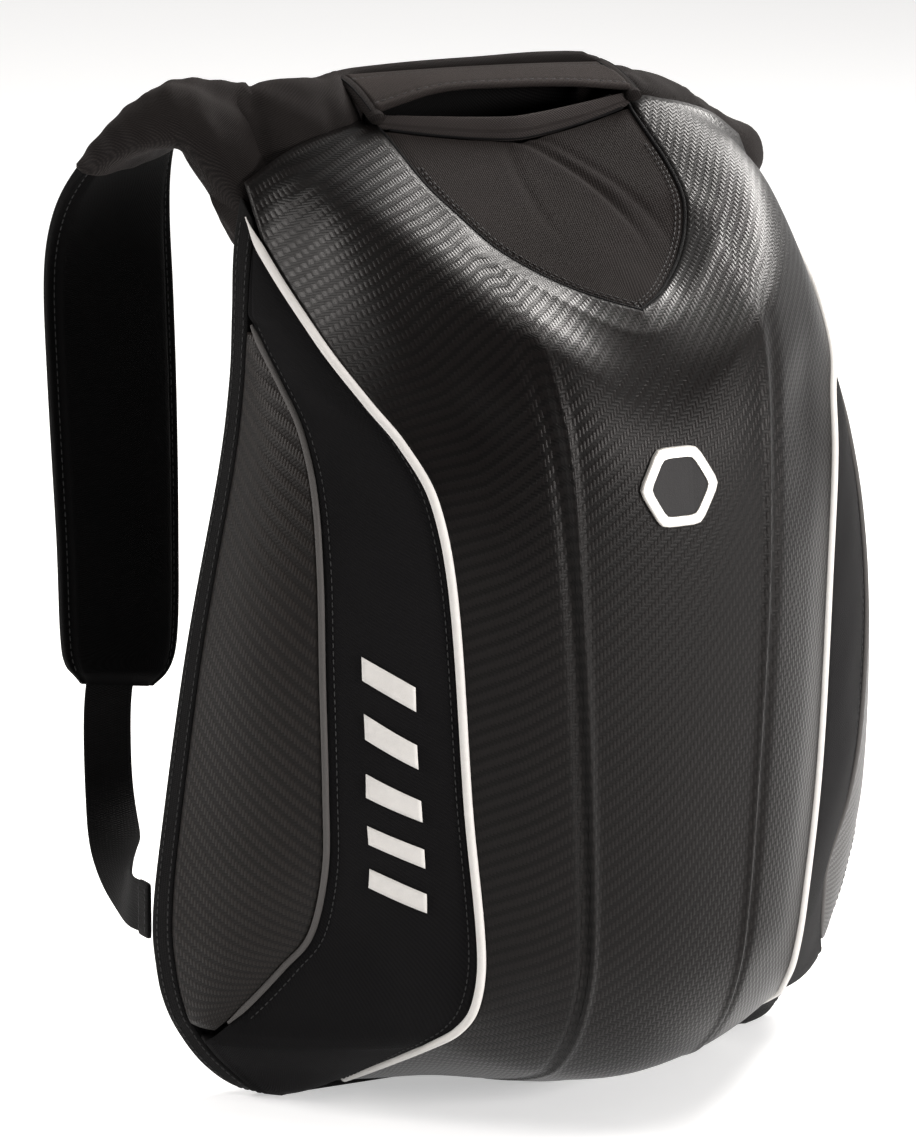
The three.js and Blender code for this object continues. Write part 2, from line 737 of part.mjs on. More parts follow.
function bindingSide() {
  const places = [
    0.01, 0.05, 0.1, 0.16, 0.22, 0.28, 0.34, 0.4, 0.47, 0.54, 0.61, 0.68, 0.73, 0.77, 0.81,
    0.85, 0.88, 0.91, 0.94, 0.97, 1,
  ];
  return loft(places.map((at) => (
    bindingSection(backEdge(at), bindingLies(at), bindingInward(at))
  )));
}

function bindingBase() {
  const end = backEdge(1).x - CLEARANCE;
  const along = new THREE.Vector3(0, -1, 0);
  const inward = new THREE.Vector3(0, 0, 1);
  return loft([-end, end].map((x) => bindingSection(new THREE.Vector3(x, 0, 0), along, inward)));
}

pair('edge_binding', bindingSide(), 'webbing');
piece('edge_binding_base', bindingBase(), 'webbing');

// Back panel with three sewn channels

function backPanel() {
  const places = [
    0.106, 0.13, 0.16, 0.2, 0.25, 0.3, 0.36, 0.42, 0.48, 0.54, 0.6, 0.66, 0.72, 0.77, 0.81,
    0.85, 0.885, 0.915, 0.945, 0.97,
  ];
  const front = [];
  const rear = [];
  places.forEach((at) => {
    const edge = backEdge(at);
    const inner = edge.clone().addScaledVector(bindingInward(at), BINDING_THICKNESS);
    const half = Math.min(inner.x + BACK_OVERLAP, edge.x - BACK_OVERLAP);
    const near = Math.max(inner.y, edge.y) + 2 * CLEARANCE;
    const taper = smoothStep(at, 0.95, 0.85);
    const columns = steps(-1, 1, 16);
    front.push(columns.map((share) => new THREE.Vector3(share * half, near, edge.z)));
    rear.push(columns.map((share, i) => {
      const crown = BACK_CROWN * (1 - share ** 4) * taper;
      const channel = i === 5 || i === 11 ? CHANNEL_DEPTH : 0;
      return new THREE.Vector3(share * half, near + BACK_PADDING + crown - channel, edge.z);
    }));
  });
  return slab(rear, front);
}

piece('back_panel', backPanel(), 'cloth');

// Shoulder straps, their webbing and the tabs that hold it

function hangingSection(row, pose, width, thickness, next, previous) {
  const place = ([out, rear, up]) => {
    const sweep = (out - STRAP[0][0]) * (pose.sweep - 1) * HALF_WIDTH;
    const moved = pose.root + sweep - pose.swing * smoothStep(-up, -0.97, -0.82);
    const free = smoothStep(rear, 0.24, 0.5);
    return new THREE.Vector3(
      pose.side * (out * HALF_WIDTH + moved * free),
      rear * STRAP_REACH,
      up * BODY_HEIGHT - pose.drop * smoothStep(up, 0.6, 0.9),
    );
  };
  const middle = place(row);
  const along = row === previous && row[4] === 1
    ? new THREE.Vector3(pose.side, 0, 0)
    : place(next).sub(place(previous)).normalize();
  const wide = new THREE.Vector3(row[3] * pose.side, row[4], row[5]);
  wide.addScaledVector(along, -wide.dot(along)).normalize();
  const thick = wide.clone().cross(along).normalize();
  const shares = [
    [-1, -0.35], [-0.86, -0.9], [-0.4, -1], [0.4, -1], [0.86, -0.9], [1, -0.35],
    [1, 0.35], [0.86, 0.9], [0.4, 1], [-0.4, 1], [-0.86, 0.9], [-1, 0.35],
  ];
  return shares.map(([w, t]) => middle.clone()
    .addScaledVector(wide, (w * width) / 2)
    .addScaledVector(thick, (t * thickness) / 2));
}

function hanging(rows, pose, widthOf, thickness) {
  return loft(rows.map((row, i) => {
    const next = rows[Math.min(i + 1, rows.length - 1)];
    const previous = rows[Math.max(i - 1, 0)];
    return hangingSection(row, pose, widthOf(row), thickness, next, previous);
  }));
}

STRAP_POSES.forEach((pose) => {
  const strap = hanging(STRAP, pose, (row) => row[6] * STRAP_WIDTH, STRAP_THICKNESS);
  piece(`shoulder_strap_${pose.name}`, strap, 'cloth');
  const webbing = hanging(WEBBING, pose, () => WEBBING_WIDTH, WEBBING_THICKNESS);
  piece(`strap_webbing_${pose.name}`, webbing, 'webbing');
});

function webbingAnchor() {
  const [out, up] = ANCHOR_PLACE;
  const end = WEBBING[WEBBING.length - 1][1] * STRAP_REACH - CLEARANCE;
  const box = new THREE.BoxGeometry(ANCHOR_THICKNESS, ANCHOR_LENGTH, WEBBING_WIDTH + 2);
  box.deleteAttribute('normal');
  box.deleteAttribute('uv');
  box.translate(out * HALF_WIDTH, end - ANCHOR_LENGTH / 2, up * BODY_HEIGHT);
  return mergeVertices(box);
}

pair('webbing_anchor', webbingAnchor(), 'webbing');

// A plain six-sided badge on the middle of the shell

function shellSurface(x, z) {
  let column = 0;
  let at = 0;
  for (let i = 0; i < 6; i += 1) {
    let low = TOP_BAND;
    let high = 0.8;
    while (high - low > 1e-5) {
      at = (low + high) / 2;
      if (sectionPoint(column, at).z > z) low = at;
      else high = at;
    }
    column += (Math.abs(x) - sectionPoint(column, at).x) / ribLine(at).x;
  }
  return sectionPoint(column, at).y;
}

function badgeLoop(apothem, proud) {
  return steps(0, 2 * Math.PI, 36).slice(0, -1).map((angle) => {
    const reach = steps(0, 5, 5).reduce((sum, side) => {
      const facing = Math.max(Math.cos(angle - ((side + 0.5) * Math.PI) / 3), 0);
      return sum + facing ** BADGE_CORNER_POWER;
    }, 0);
    const radius = apothem / reach ** (1 / BADGE_CORNER_POWER);
    const x = radius * Math.cos(angle);
    const z = BADGE_HEIGHT_UP * BODY_HEIGHT + radius * Math.sin(angle);
    return new THREE.Vector3(x, shellSurface(x, z) - proud, z);
  });
}

function badgeRing() {
  const outer = BADGE_SIZE / 2;
  const top = CLEARANCE + BADGE_THICKNESS;
  const loops = [
    badgeLoop(outer - BADGE_RIM, CLEARANCE),
    badgeLoop(outer - BADGE_RIM, top),
    badgeLoop(outer - 0.5, top),
    badgeLoop(outer, top - 0.5),
    badgeLoop(outer, CLEARANCE),
  ];
  return loft(loops[0].map((_, i) => loops.map((loop) => loop[i])), true);
}

function badgeInlay() {
  const apothem = BADGE_SIZE / 2 - BADGE_RIM - CLEARANCE;
  const under = 2 * CLEARANCE;
  return loft([badgeLoop(apothem, under), badgeLoop(apothem, under + INLAY_THICKNESS)]);
}

piece('badge_ring', badgeRing(), 'reflective');
piece('badge_inlay', badgeInlay(), 'inlay');

bag.position.set(0, BINDING_WIDTH / 2, 0);

export default bag;
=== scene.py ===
import math
import bpy
import numpy as np
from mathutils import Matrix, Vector


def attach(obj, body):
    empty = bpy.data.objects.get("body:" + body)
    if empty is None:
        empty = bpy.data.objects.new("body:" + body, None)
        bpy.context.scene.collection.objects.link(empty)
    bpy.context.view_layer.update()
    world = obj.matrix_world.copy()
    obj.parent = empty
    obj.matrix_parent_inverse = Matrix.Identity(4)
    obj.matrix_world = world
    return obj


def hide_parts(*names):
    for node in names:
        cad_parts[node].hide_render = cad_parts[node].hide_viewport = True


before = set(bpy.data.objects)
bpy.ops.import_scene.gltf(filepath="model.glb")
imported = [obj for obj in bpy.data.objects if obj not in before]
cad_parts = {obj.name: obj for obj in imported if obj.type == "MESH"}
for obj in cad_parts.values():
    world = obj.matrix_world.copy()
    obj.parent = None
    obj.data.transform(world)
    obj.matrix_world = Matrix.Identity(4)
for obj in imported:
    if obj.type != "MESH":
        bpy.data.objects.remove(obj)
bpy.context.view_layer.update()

# Camera
# The bag is seen from its front left corner, a little from above, through a long lens.
camera = bpy.data.objects.new("camera", bpy.data.cameras.new("camera"))
bpy.context.scene.collection.objects.link(camera)
camera.location = (-1.8117, -3.3510, 1.1559)
camera.rotation_euler = Vector((0.4566, 0.8585, -0.2335)).to_track_quat("-Z", "Y").to_euler()
camera.data.sensor_width = 36
camera.data.lens = 258.2
camera.data.clip_end = 60
bpy.context.scene.camera = camera


# Studio
# A pale floor runs back out of sight. The main soft light stands behind the bag's right
# shoulder. Weaker ones hang above it and stand in front and on the left.
class Socket:
    """One output of a shader node. Maths on it adds nodes to the finish that it belongs to."""

    def __init__(self, finish, output):
        self.finish = finish
        self.output = output

    def __add__(self, other):
        return self.finish.maths("ADD", self, other)

    def __sub__(self, other):
        return self.finish.maths("SUBTRACT", self, other)

    def __rsub__(self, other):
        return self.finish.maths("SUBTRACT", other, self)

    def __mul__(self, other):
        return self.finish.maths("MULTIPLY", self, other)

    def __truediv__(self, other):
        return self.finish.maths("DIVIDE", self, other)

    def __mod__(self, other):
        return self.finish.maths("FLOORED_MODULO", self, other)

    def __lt__(self, other):
        return self.finish.maths("LESS_THAN", self, other)

    def __floor__(self):
        return self.finish.maths("FLOOR", self)

    def wave(self):
        """0 at each whole number and 1 half way between."""
        return self.finish.maths("PINGPONG", self * 2, 1.0)

    __radd__ = __add__
    __rmul__ = __mul__


class Finish:
    """A material or surround that is put together from nodes."""

    def __init__(self, name, owner=None):
        self.owner = owner or bpy.data.materials.new(name)
        self.owner.use_nodes = True
        self.tree = self.owner.node_tree
        self.tree.nodes.clear()

    def node(self, kind, settings=(), sockets=(), output=0):
        made = self.tree.nodes.new(kind)
        for name, value in dict(settings).items():
            setattr(made, name, value)
        for name, value in dict(sockets).items():
            if isinstance(value, Socket):
                self.tree.links.new(value.output, made.inputs[name])
            else:
                made.inputs[name].default_value = value
        return Socket(self, made.outputs[output]) if made.outputs else made

    def maths(self, operation, *values):
        return self.node("ShaderNodeMath", {"operation": operation}, dict(enumerate(values)))

    def split(self, vector):
        return [self.node("ShaderNodeSeparateXYZ", (), {0: vector}, axis) for axis in range(3)]

    def blend(self, first, second, share):
        return self.node("ShaderNodeMix", {"data_type": "RGBA"}, {0: share, 6: first, 7: second}, 2)

    def noise(self, vector, scale, detail=2.0, roughness=0.5):
        return self.node("ShaderNodeTexNoise", {"noise_dimensions": "3D"}, {
            "Vector": vector, "Scale": scale, "Detail": detail, "Roughness": roughness})

    def surface(self, height, depth, **sockets):
        """The finished surface: its relief in metres, and what its shader is given."""
        normal = self.node("ShaderNodeBump", (), {"Height": height, "Distance": depth, "Strength": 1.0})
        named = {name.replace("_", " "): value for name, value in sockets.items()}
        shader = self.node("ShaderNodeBsdfPrincipled", (), {**named, "Normal": normal})
        self.node("ShaderNodeOutputMaterial", (), {"Surface": shader})
        return self.owner


surround = Finish("surround", bpy.data.worlds.new("surround"))
bpy.context.scene.world = surround.owner
looking = surround.node("ShaderNodeTexCoord", (), (), "Generated")
facing_key = surround.node("ShaderNodeVectorMath", {"operation": "DOT_PRODUCT"}, {
    0: looking, 1: (0.75, 0.20, 0.63)}, "Value")
brightness = surround.maths("MAXIMUM", facing_key * 0.55 + 0.10, 0.08)
sky = surround.node("ShaderNodeBackground", (), {"Color": (1.0, 0.985, 0.97, 1), "Strength": brightness})
surround.node("ShaderNodeOutputWorld", (), {"Surface": sky})


def lamp(name, place, aim, size, watts, colour):
    data = bpy.data.lights.new(name, "AREA")
    data.shape = "DISK"
    data.size = size
    data.energy = watts
    data.color = colour
    light = bpy.data.objects.new(name, data)
    light.location = place
    light.rotation_euler = (Vector(aim) - Vector(place)).to_track_quat("-Z", "Y").to_euler()
    bpy.context.scene.collection.objects.link(light)


lamp("key_light", (1.55, 0.65, 1.60), (0.05, -0.05, 0.38), 0.9, 56, (1, 0.97, 0.94))
lamp("top_light", (0.4, -0.5, 2.2), (0, -0.05, 0.30), 1.2, 24, (1, 0.97, 0.94))
lamp("front_light", (1.15, -2.2, 0.75), (0, -0.05, 0.28), 0.6, 60, (1, 0.97, 0.96))
lamp("left_light", (-1.9, 0.8, 1.2), (0, 0, 0.36), 0.8, 34, (1, 0.97, 0.95))

floor_mesh = bpy.data.meshes.new("floor")
floor_mesh.from_pydata([(-20, -20, 0), (20, -20, 0), (20, 30, 0), (-20, 30, 0)], [], [(0, 1, 2, 3)])
floor = bpy.data.objects.new("floor", floor_mesh)
bpy.context.scene.collection.objects.link(floor)
paper = Finish("floor_paper")
paper_grain = paper.noise(paper.node("ShaderNodeTexCoord", (), (), "Object"), 60.0)
floor_mesh.materials.append(paper.surface(
    paper_grain, 0.0002, Base_Color=(0.80, 0.80, 0.80, 1), Roughness=0.9,
    Emission_Color=(1, 1, 1, 1), Emission_Strength=0.46))
bpy.context.scene.view_settings.view_transform = "Standard"


# Hard shell
# The front is one moulded shell, 2.6 mm thick, faced with a film that is embossed like a
# twill of flat tows. Two ribs run down it beside a raised middle, and its lower edge turns
# under the bag to the base binding.
HALF_WIDTH = 0.193
DEPTH = 0.169
HEIGHT = 0.462
SHARES_TO_METRES = np.array([HALF_WIDTH, -DEPTH, HEIGHT])
BINDING_WIDTH = 0.0105
ORIGIN = np.array([0, BINDING_WIDTH / 2, 0])
CLEARANCE = 0.0003
SHELL_WALL = 0.0026
RIB_HEIGHT = 0.0016
GROOVE_DEPTH = 0.0016
PIPING_RADIUS = 0.0021
TOP_BAND = 0.06
BASE_TURN = 0.93
CORNER_COLUMN = 1.55
# Columns of the rails: place, then shares of half the width, of the depth and of the height
PIPING_RAIL = (
    (0.000, 0.699, -0.053, 0.931), (0.060, 0.694, 0.047, 0.895), (0.160, 0.684, 0.310, 0.832),
    (0.210, 0.671, 0.425, 0.801), (0.260, 0.637, 0.556, 0.763), (0.310, 0.591, 0.651, 0.727),
    (0.370, 0.549, 0.746, 0.675), (0.450, 0.518, 0.790, 0.580), (0.610, 0.484, 0.805, 0.359),
    (0.740, 0.446, 0.799, 0.208), (0.800, 0.443, 0.757, 0.150), (0.850, 0.456, 0.680, 0.117),
    (0.890, 0.487, 0.574, 0.093), (0.965, 0.516, 0.260, 0.038), (1.000, 0.528, 0.075, 0.008))
FLANK_RAIL = (
    (0.060, 0.572, 0.120, 0.961), (0.110, 0.582, 0.255, 0.936), (0.160, 0.580, 0.378, 0.902),
    (0.210, 0.567, 0.506, 0.860), (0.260, 0.534, 0.634, 0.809), (0.310, 0.482, 0.734, 0.755),
    (0.370, 0.446, 0.817, 0.693), (0.450, 0.409, 0.882, 0.595), (0.610, 0.373, 0.905, 0.379),
    (0.740, 0.337, 0.888, 0.212), (0.800, 0.321, 0.840, 0.152), (0.850, 0.326, 0.751, 0.104),
    (0.890, 0.337, 0.627, 0.069), (0.965, 0.352, 0.308, 0.030), (1.000, 0.363, 0.075, 0.003))
RIB_RAIL = (
    (0.060, 0.308, 0.562, 0.896), (0.110, 0.308, 0.686, 0.870), (0.160, 0.301, 0.781, 0.846),
    (0.210, 0.293, 0.846, 0.816), (0.310, 0.271, 0.926, 0.725), (0.450, 0.254, 0.966, 0.567),
    (0.610, 0.228, 0.967, 0.372), (0.740, 0.209, 0.941, 0.208), (0.800, 0.205, 0.888, 0.143),
    (0.850, 0.202, 0.799, 0.093), (0.890, 0.199, 0.663, 0.054), (0.965, 0.197, 0.325, 0.016),
    (1.000, 0.197, 0.075, 0.002))
CENTRE_RAIL = (
    (0.060, 0, 0.817, 0.827), (0.160, 0, 0.893, 0.779), (0.260, 0, 0.953, 0.723),
    (0.370, 0, 0.988, 0.641), (0.530, 0, 1.000, 0.472), (0.680, 0, 0.988, 0.286),
    (0.740, 0, 0.970, 0.210), (0.800, 0, 0.926, 0.145), (0.850, 0, 0.840, 0.091),
    (0.890, 0, 0.704, 0.048), (0.930, 0, 0.490, 0.022), (0.965, 0, 0.275, 0.000),
    (1.000, 0, 0.075, 0.000))
# Round the V from its tip (0) to its corner (1), then along the yoke's seam (2)
SHELL_TOP_RAIL = (
    (0.00, 0.000, 0.772, 0.847), (0.20, 0.074, 0.721, 0.857), (0.35, 0.131, 0.659, 0.866),
    (0.50, 0.201, 0.577, 0.882), (0.64, 0.265, 0.481, 0.903), (0.76, 0.309, 0.380, 0.928),
    (0.88, 0.337, 0.224, 0.955), (1.00, 0.354, -0.024, 0.999), (1.30, 0.459, -0.036, 0.998),
    (1.65, 0.585, -0.041, 0.981), (2.00, 0.689, -0.074, 0.951))


def smooth_step(value, low, high):
    share = np.clip((value - low) / (high - low), 0, 1)
    return share * share * (3 - 2 * share)


def rail(rows):
    """A smooth curve through a table's rows, in metres, read at any place along it."""
    table = np.array(rows, float)
    places = table[:, 0]
    points = table[:, 1:4] * SHARES_TO_METRES + ORIGIN
    before = np.maximum(np.arange(len(places)) - 1, 0)
    after = np.minimum(np.arange(len(places)) + 1, len(places) - 1)
    slopes = (points[after] - points[before]) / (places[after] - places[before])[:, None]

    def curve(at):
        at = np.asarray(at, float)
        i = np.clip(np.searchsorted(places, at, side="right") - 1, 0, len(places) - 2)
        span = (places[i + 1] - places[i])[..., None]
        t = np.clip((at - places[i])[..., None] / span, 0, 1)
        return (points[i] * (2 * t**3 - 3 * t**2 + 1) + slopes[i] * (t**3 - 2 * t**2 + t) * span
                + points[i + 1] * (3 * t**2 - 2 * t**3) + slopes[i + 1] * (t**3 - t**2) * span)

    return curve


def through(p0, p1, p2, p3, share):
    """A point between p1 and p2 on the smooth curve through four points."""
    d0, d1, d2 = (np.maximum(np.linalg.norm(b - a, axis=-1, keepdims=True), 1e-8) ** 0.5
                  for a, b in ((p0, p1), (p1, p2), (p2, p3)))
    leaving = ((p1 - p0) / d0 - (p2 - p0) / (d0 + d1) + (p2 - p1) / d1) * d1
    arriving = ((p2 - p1) / d1 - (p3 - p1) / (d1 + d2) + (p3 - p2) / d2) * d1
    return (p1 + leaving * share + (3 * (p2 - p1) - 2 * leaving - arriving) * share**2
            + (2 * (p1 - p2) + leaving + arriving) * share**3)


piping_rail, flank_rail, rib_rail = rail(PIPING_RAIL), rail(FLANK_RAIL), rail(RIB_RAIL)
centre_rail, shell_top = rail(CENTRE_RAIL), rail(SHELL_TOP_RAIL)


def section(column, at):
    """Across the shell: middle at column 0, rib at 1, flank at 2 and piping at 3."""
    rib = rib_rail(at)
    knots = [rib * (-1, 1, 1), centre_rail(at), rib, flank_rail(at), piping_rail(at)]
    knots.append(2 * knots[4] - knots[3])
    i = min(int(np.max(column) + 1), 3)
    share = np.broadcast_to(column, at.shape)[:, None] + 1 - i
    return through(*knots[i - 1:i + 3], share)


def shell_point(column, at):
    """A point of the shell's outer face, for one column and a row of places."""
    edge = (PIPING_RADIUS + CLEARANCE) / np.linalg.norm(piping_rail(at) - flank_rail(at), axis=-1)
    edge = edge * (0.1 + 0.9 * smooth_step(at, 0.12, 0.26))
    place = section(column - max(column - 2, 0) * edge, np.maximum(at, TOP_BAND))
    share = column / CORNER_COLUMN if column < CORNER_COLUMN else (
        1 + (column - CORNER_COLUMN) / (3 - CORNER_COLUMN))
    band = np.clip(at / TOP_BAND, 0, 1)[:, None]
    place = shell_top(share) * (1 - band) + place * band
    fade = smooth_step(at, 0.13, 0.3) * (1 - smooth_step(at, BASE_TURN, 1))
    relief = fade * (RIB_HEIGHT * math.exp(-((column - 1) / 0.055) ** 2)
                     - GROOVE_DEPTH * math.exp(-((column - 1.14) / 0.09) ** 2))
    out = place * (1, 1, 0) + (0, DEPTH / 4, 0)
    out /= np.linalg.norm(out, axis=-1, keepdims=True)
    place = place + out * relief[:, None]
    base_front = ORIGIN[1] - BINDING_WIDTH - CLEARANCE
    place[:, 1] = np.where(at >= 1, base_front, place[:, 1])
    return place


def lengths(points, axis):
    """How far along a grid of points each one lies, in metres."""
    steps = np.linalg.norm(np.diff(points, axis=axis), axis=-1)
    pad = [(1, 0) if a == axis else (0, 0) for a in range(2)]
    return np.pad(np.cumsum(steps, axis=axis), pad)


def laid_out(points):
    """A layout for the weave: distance along each row and down each column, in metres."""
    return np.stack([lengths(points, 1), lengths(points, 0)], -1)


def piece(name, points, faces, uv, finish):
    mesh = bpy.data.meshes.new(name)
    mesh.from_pydata(points.reshape(-1, 3).tolist(), [], faces)
    layer = mesh.uv_layers.new(name="weave")
    corners = np.zeros(len(mesh.loops), int)
    mesh.loops.foreach_get("vertex_index", corners)
    layer.data.foreach_set("uv", uv.reshape(-1, 2)[corners].ravel())
    mesh.polygons.foreach_set("use_smooth", [True] * len(mesh.polygons))
    mesh.materials.append(finish)
    made = bpy.data.objects.new(name, mesh)
    bpy.context.scene.collection.objects.link(made)
    return made


def sheet(name, points, finish, wall=0.0, uv=None, inside=(0, -0.06, 0.23)):
    """A sheet through a grid of points. Its wall lies behind it, towards `inside`."""
    rows, columns = points.shape[:2]
    index = np.arange(rows * columns).reshape(rows, columns)
    quads = np.stack([index[:-1, :-1], index[:-1, 1:], index[1:, 1:], index[1:, :-1]], -1)
    across = points[:-1, 1:] - points[:-1, :-1]
    down = points[1:, :-1] - points[:-1, :-1]
    away = points[:-1, :-1] - np.array(inside)
    if (np.cross(across, down) * away).sum() < 0:
        quads = quads[..., ::-1]
    uv = laid_out(points) if uv is None else uv
    made = piece(name, points, quads.reshape(-1, 4).tolist(), uv, finish)
    if wall:
        solid = made.modifiers.new("wall", "SOLIDIFY")
        solid.thickness = wall
        solid.offset = -1
    return made


def film_finish(name, dark, light, gloss):
    """Film embossed like a two by two twill, in cells 1.73 mm across, with painted sheen on its raised
    tows.
    """
    film = Finish(name)
    uv = film.node("ShaderNodeUVMap", {"uv_map": "weave"})
    u, v, _ = film.split(uv)
    x, y = u / 0.00173, v / 0.00173
    x_cell, y_cell = math.floor(x), math.floor(y)
    over = (x_cell - y_cell) % 4 < 1.5
    across = (x - x_cell) * 2 - 1
    along = (y - y_cell) * 2 - 1
    warp = 1 - across * across
    weft = 1 - along * along
    tow_and_sheen = over * (warp * 0.4 + 0.6) + (1 - over) * weft * 0.22
    place = film.node("ShaderNodeTexCoord", (), (), "Object")
    grain = film.noise(place, 2600.0, 2.0, 0.6)
    cloud = film.noise(place, 9.0, 3.0, 0.55)
    # Painted sheen: the colour follows the tows, lighter on the raised cells and their crowns and darker on
    # the sunken ones, as light catches them; the clouds are random tone.
    shade = film.blend(dark, light, tow_and_sheen * 0.8 + cloud * 0.5 - 0.12)
    return film.surface(tow_and_sheen * 0.8 + grain * 0.16, 0.00036, Base_Color=shade,
                        Roughness=cloud * 0.14 - tow_and_sheen * 0.10 + gloss, Specular_IOR_Level=0.5,
                        Specular_Tint=(0.20, 0.195, 0.19, 1))


film = film_finish("embossed_film", (0.0009, 0.0008, 0.0008, 1), (0.0062, 0.0052, 0.0050, 1), 0.37)
places = np.concatenate([np.linspace(0, TOP_BAND, 9)[:-1], np.linspace(TOP_BAND, 1, 150)])
half_columns = np.concatenate([np.linspace(0, 0.85, 18)[:-1], np.linspace(0.85, 1.35, 26)[:-1],
                               np.linspace(1.35, 3, 34)])
right = np.stack([shell_point(column, places) for column in half_columns], 1)
shell_grid = np.concatenate([(right * (-1, 1, 1))[:, :0:-1], right], 1)
level = smooth_step(places, 0.2, 0.45)[:, None]
sideways = np.diff(right, axis=1)
row_steps = np.sqrt(sideways[..., 0] ** 2 + level * sideways[..., 1] ** 2)
reach = np.pad(np.cumsum(row_steps, 1), [(0, 0), (1, 0)])
rise = lengths(shell_grid[::-1], 0)[::-1]
shell_uv = np.stack([np.concatenate([-reach[:, :0:-1], reach], 1), rise], -1)
hard_shell = sheet("hard_shell_film", shell_grid, film, SHELL_WALL, shell_uv)
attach(hard_shell, "root")
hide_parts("hard_shell")


# Badge
# A plain six-sided badge of pale metal stands on the middle of the shell, with a dark
# plate set inside its ring. It carries no mark. Both keep their CAD solids.
pale_metal = Finish("pale_badge")
badge_place = pale_metal.node("ShaderNodeTexCoord", (), (), "Object")
brushed = pale_metal.noise(badge_place, 1400.0, 3.0, 0.6)
worn = pale_metal.noise(badge_place, 90.0, 3.0, 0.6)
badge_pale = pale_metal.surface(
    brushed, 0.00006,
    Base_Color=pale_metal.blend((0.47, 0.45, 0.42, 1), (0.66, 0.64, 0.60, 1), worn),
    Roughness=0.36 + worn * 0.2, Metallic=0.25)
dark_plate = Finish("badge_plate")
plate_place = dark_plate.node("ShaderNodeTexCoord", (), (), "Object")
plate_grain = dark_plate.noise(plate_place, 1800.0, 2.0, 0.6)
badge_dark = dark_plate.surface(
    plate_grain, 0.00015,
    Base_Color=dark_plate.blend((0.006, 0.0056, 0.0058, 1), (0.018, 0.0168, 0.0168, 1), plate_grain),
    Roughness=0.55, Specular_IOR_Level=0.2)
for node, finish in (("badge_ring", badge_pale), ("badge_inlay", badge_dark)):
    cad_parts[node].data.materials.clear()
    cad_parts[node].data.materials.append(finish)


# Top patch
# A woven panel is let into the V of the shell. It is sewn round its edge with two rows of
# thread beside a black welt, and soft folds run down it from the low middle of the pocket.
SEAM = 0.0012
PATCH_WALL = 0.0018
LIP_DIAMETER = 0.005
pocket_low = np.array([0, 0.073, 0.954]) * SHARES_TO_METRES + ORIGIN
hem_low = pocket_low + (0, 0.004, 0.0125)
patch_facing = np.array([0, -0.42, 0.90])


def twill_finish(name, dark, light, pitch, lean, rough=0.86, sheen=0.12, uv_map="weave"):
    """Woven cloth: fine diagonal lines made of short raised threads, coloured lighter on their tops and
    darker between them as painted sheen and shade, with faint clouds of tone.
    """
    cloth = Finish(name)
    place = cloth.node("ShaderNodeTexCoord", (), (), "Object")
    if uv_map:
        u, v, _ = cloth.split(cloth.node("ShaderNodeUVMap", {"uv_map": uv_map}))
    else:
        x, y, z = cloth.split(place)
        u, v = x, z + y * 0.6
    line = (u + v * lean) / pitch
    thread = v / (pitch * 0.8)
    ridge = line.wave()
    bead = (thread + math.floor(line) * 0.37).wave()
    weave = ridge * (bead * 0.6 + 0.4)
    cloud = cloth.noise(place, 22.0, 3.0, 0.6)
    fuzz = cloth.noise(place, 3200.0, 2.0, 0.6)
    # Painted sheen and shade: the colour follows the threads' relief, lighter on their tops and darker in
    # the gaps; the clouds are random tone.
    shade = cloth.blend(dark, light, weave * 0.75 + cloud * 0.35 - 0.08)
    return cloth.surface(weave * 0.8 + fuzz * 0.25, pitch * 0.28, Base_Color=shade, Roughness=rough,
                         Sheen_Weight=sheen, Sheen_Roughness=0.5, Specular_IOR_Level=0.12,
                         Specular_Tint=(0.4, 0.4, 0.4, 1),
                         Sheen_Tint=(light[0] * 9, light[1] * 9, light[2] * 9, 1))


def tube(name, centres, radii, finish, sides=12, up=(0, 0, 1)):
    """A rounded cord along points, `radii` being its half width and half height."""
    centres = np.asarray(centres, float)
    along = np.gradient(centres, axis=0)
    along /= np.linalg.norm(along, axis=1, keepdims=True)
    side = np.cross(along, np.array(up, float))
    side /= np.linalg.norm(side, axis=1, keepdims=True)
    top = np.cross(side, along)
    turn = np.linspace(0, 2 * math.pi, sides, endpoint=False)
    wide, high = radii
    rings = (centres[:, None] + side[:, None] * (np.cos(turn) * wide)[None, :, None]
             + top[:, None] * (np.sin(turn) * high)[None, :, None])
    return loft(name, rings, finish)


def loft(name, rings, finish):
    """A closed body through rings of points, capped at both ends."""
    count, sides = rings.shape[:2]
    index = np.arange(count * sides).reshape(count, sides)
    turned = np.roll(index, -1, axis=1)
    quads = np.stack([index[:-1], turned[:-1], turned[1:], index[1:]], -1).reshape(-1, 4).tolist()
    faces = quads + [index[0, ::-1].tolist(), index[-1].tolist()]
    run = lengths(rings, 0)
    girth = lengths(np.concatenate([rings, rings[:, :1]], 1), 1)[:, :-1]
    made = piece(name, rings, faces, np.stack([girth, run], -1), finish)
    middle = rings.mean(1, keepdims=True)
    normal = np.cross(turned_points(rings) - rings, np.gradient(rings, axis=0))
    if (normal * (rings - middle)).sum() < 0:
        made.data.flip_normals()
    return made


def turned_points(rings):
    return np.roll(rings, -1, axis=1)


def evenly(points, spacing):
    """Points at an even spacing along a line of points."""
    points = np.asarray(points, float)
    run = np.concatenate([[0], np.cumsum(np.linalg.norm(np.diff(points, axis=0), axis=1))])
    places = np.arange(spacing / 2, run[-1], spacing)
    return np.stack([np.interp(places, run, points[:, axis]) for axis in range(3)], 1)


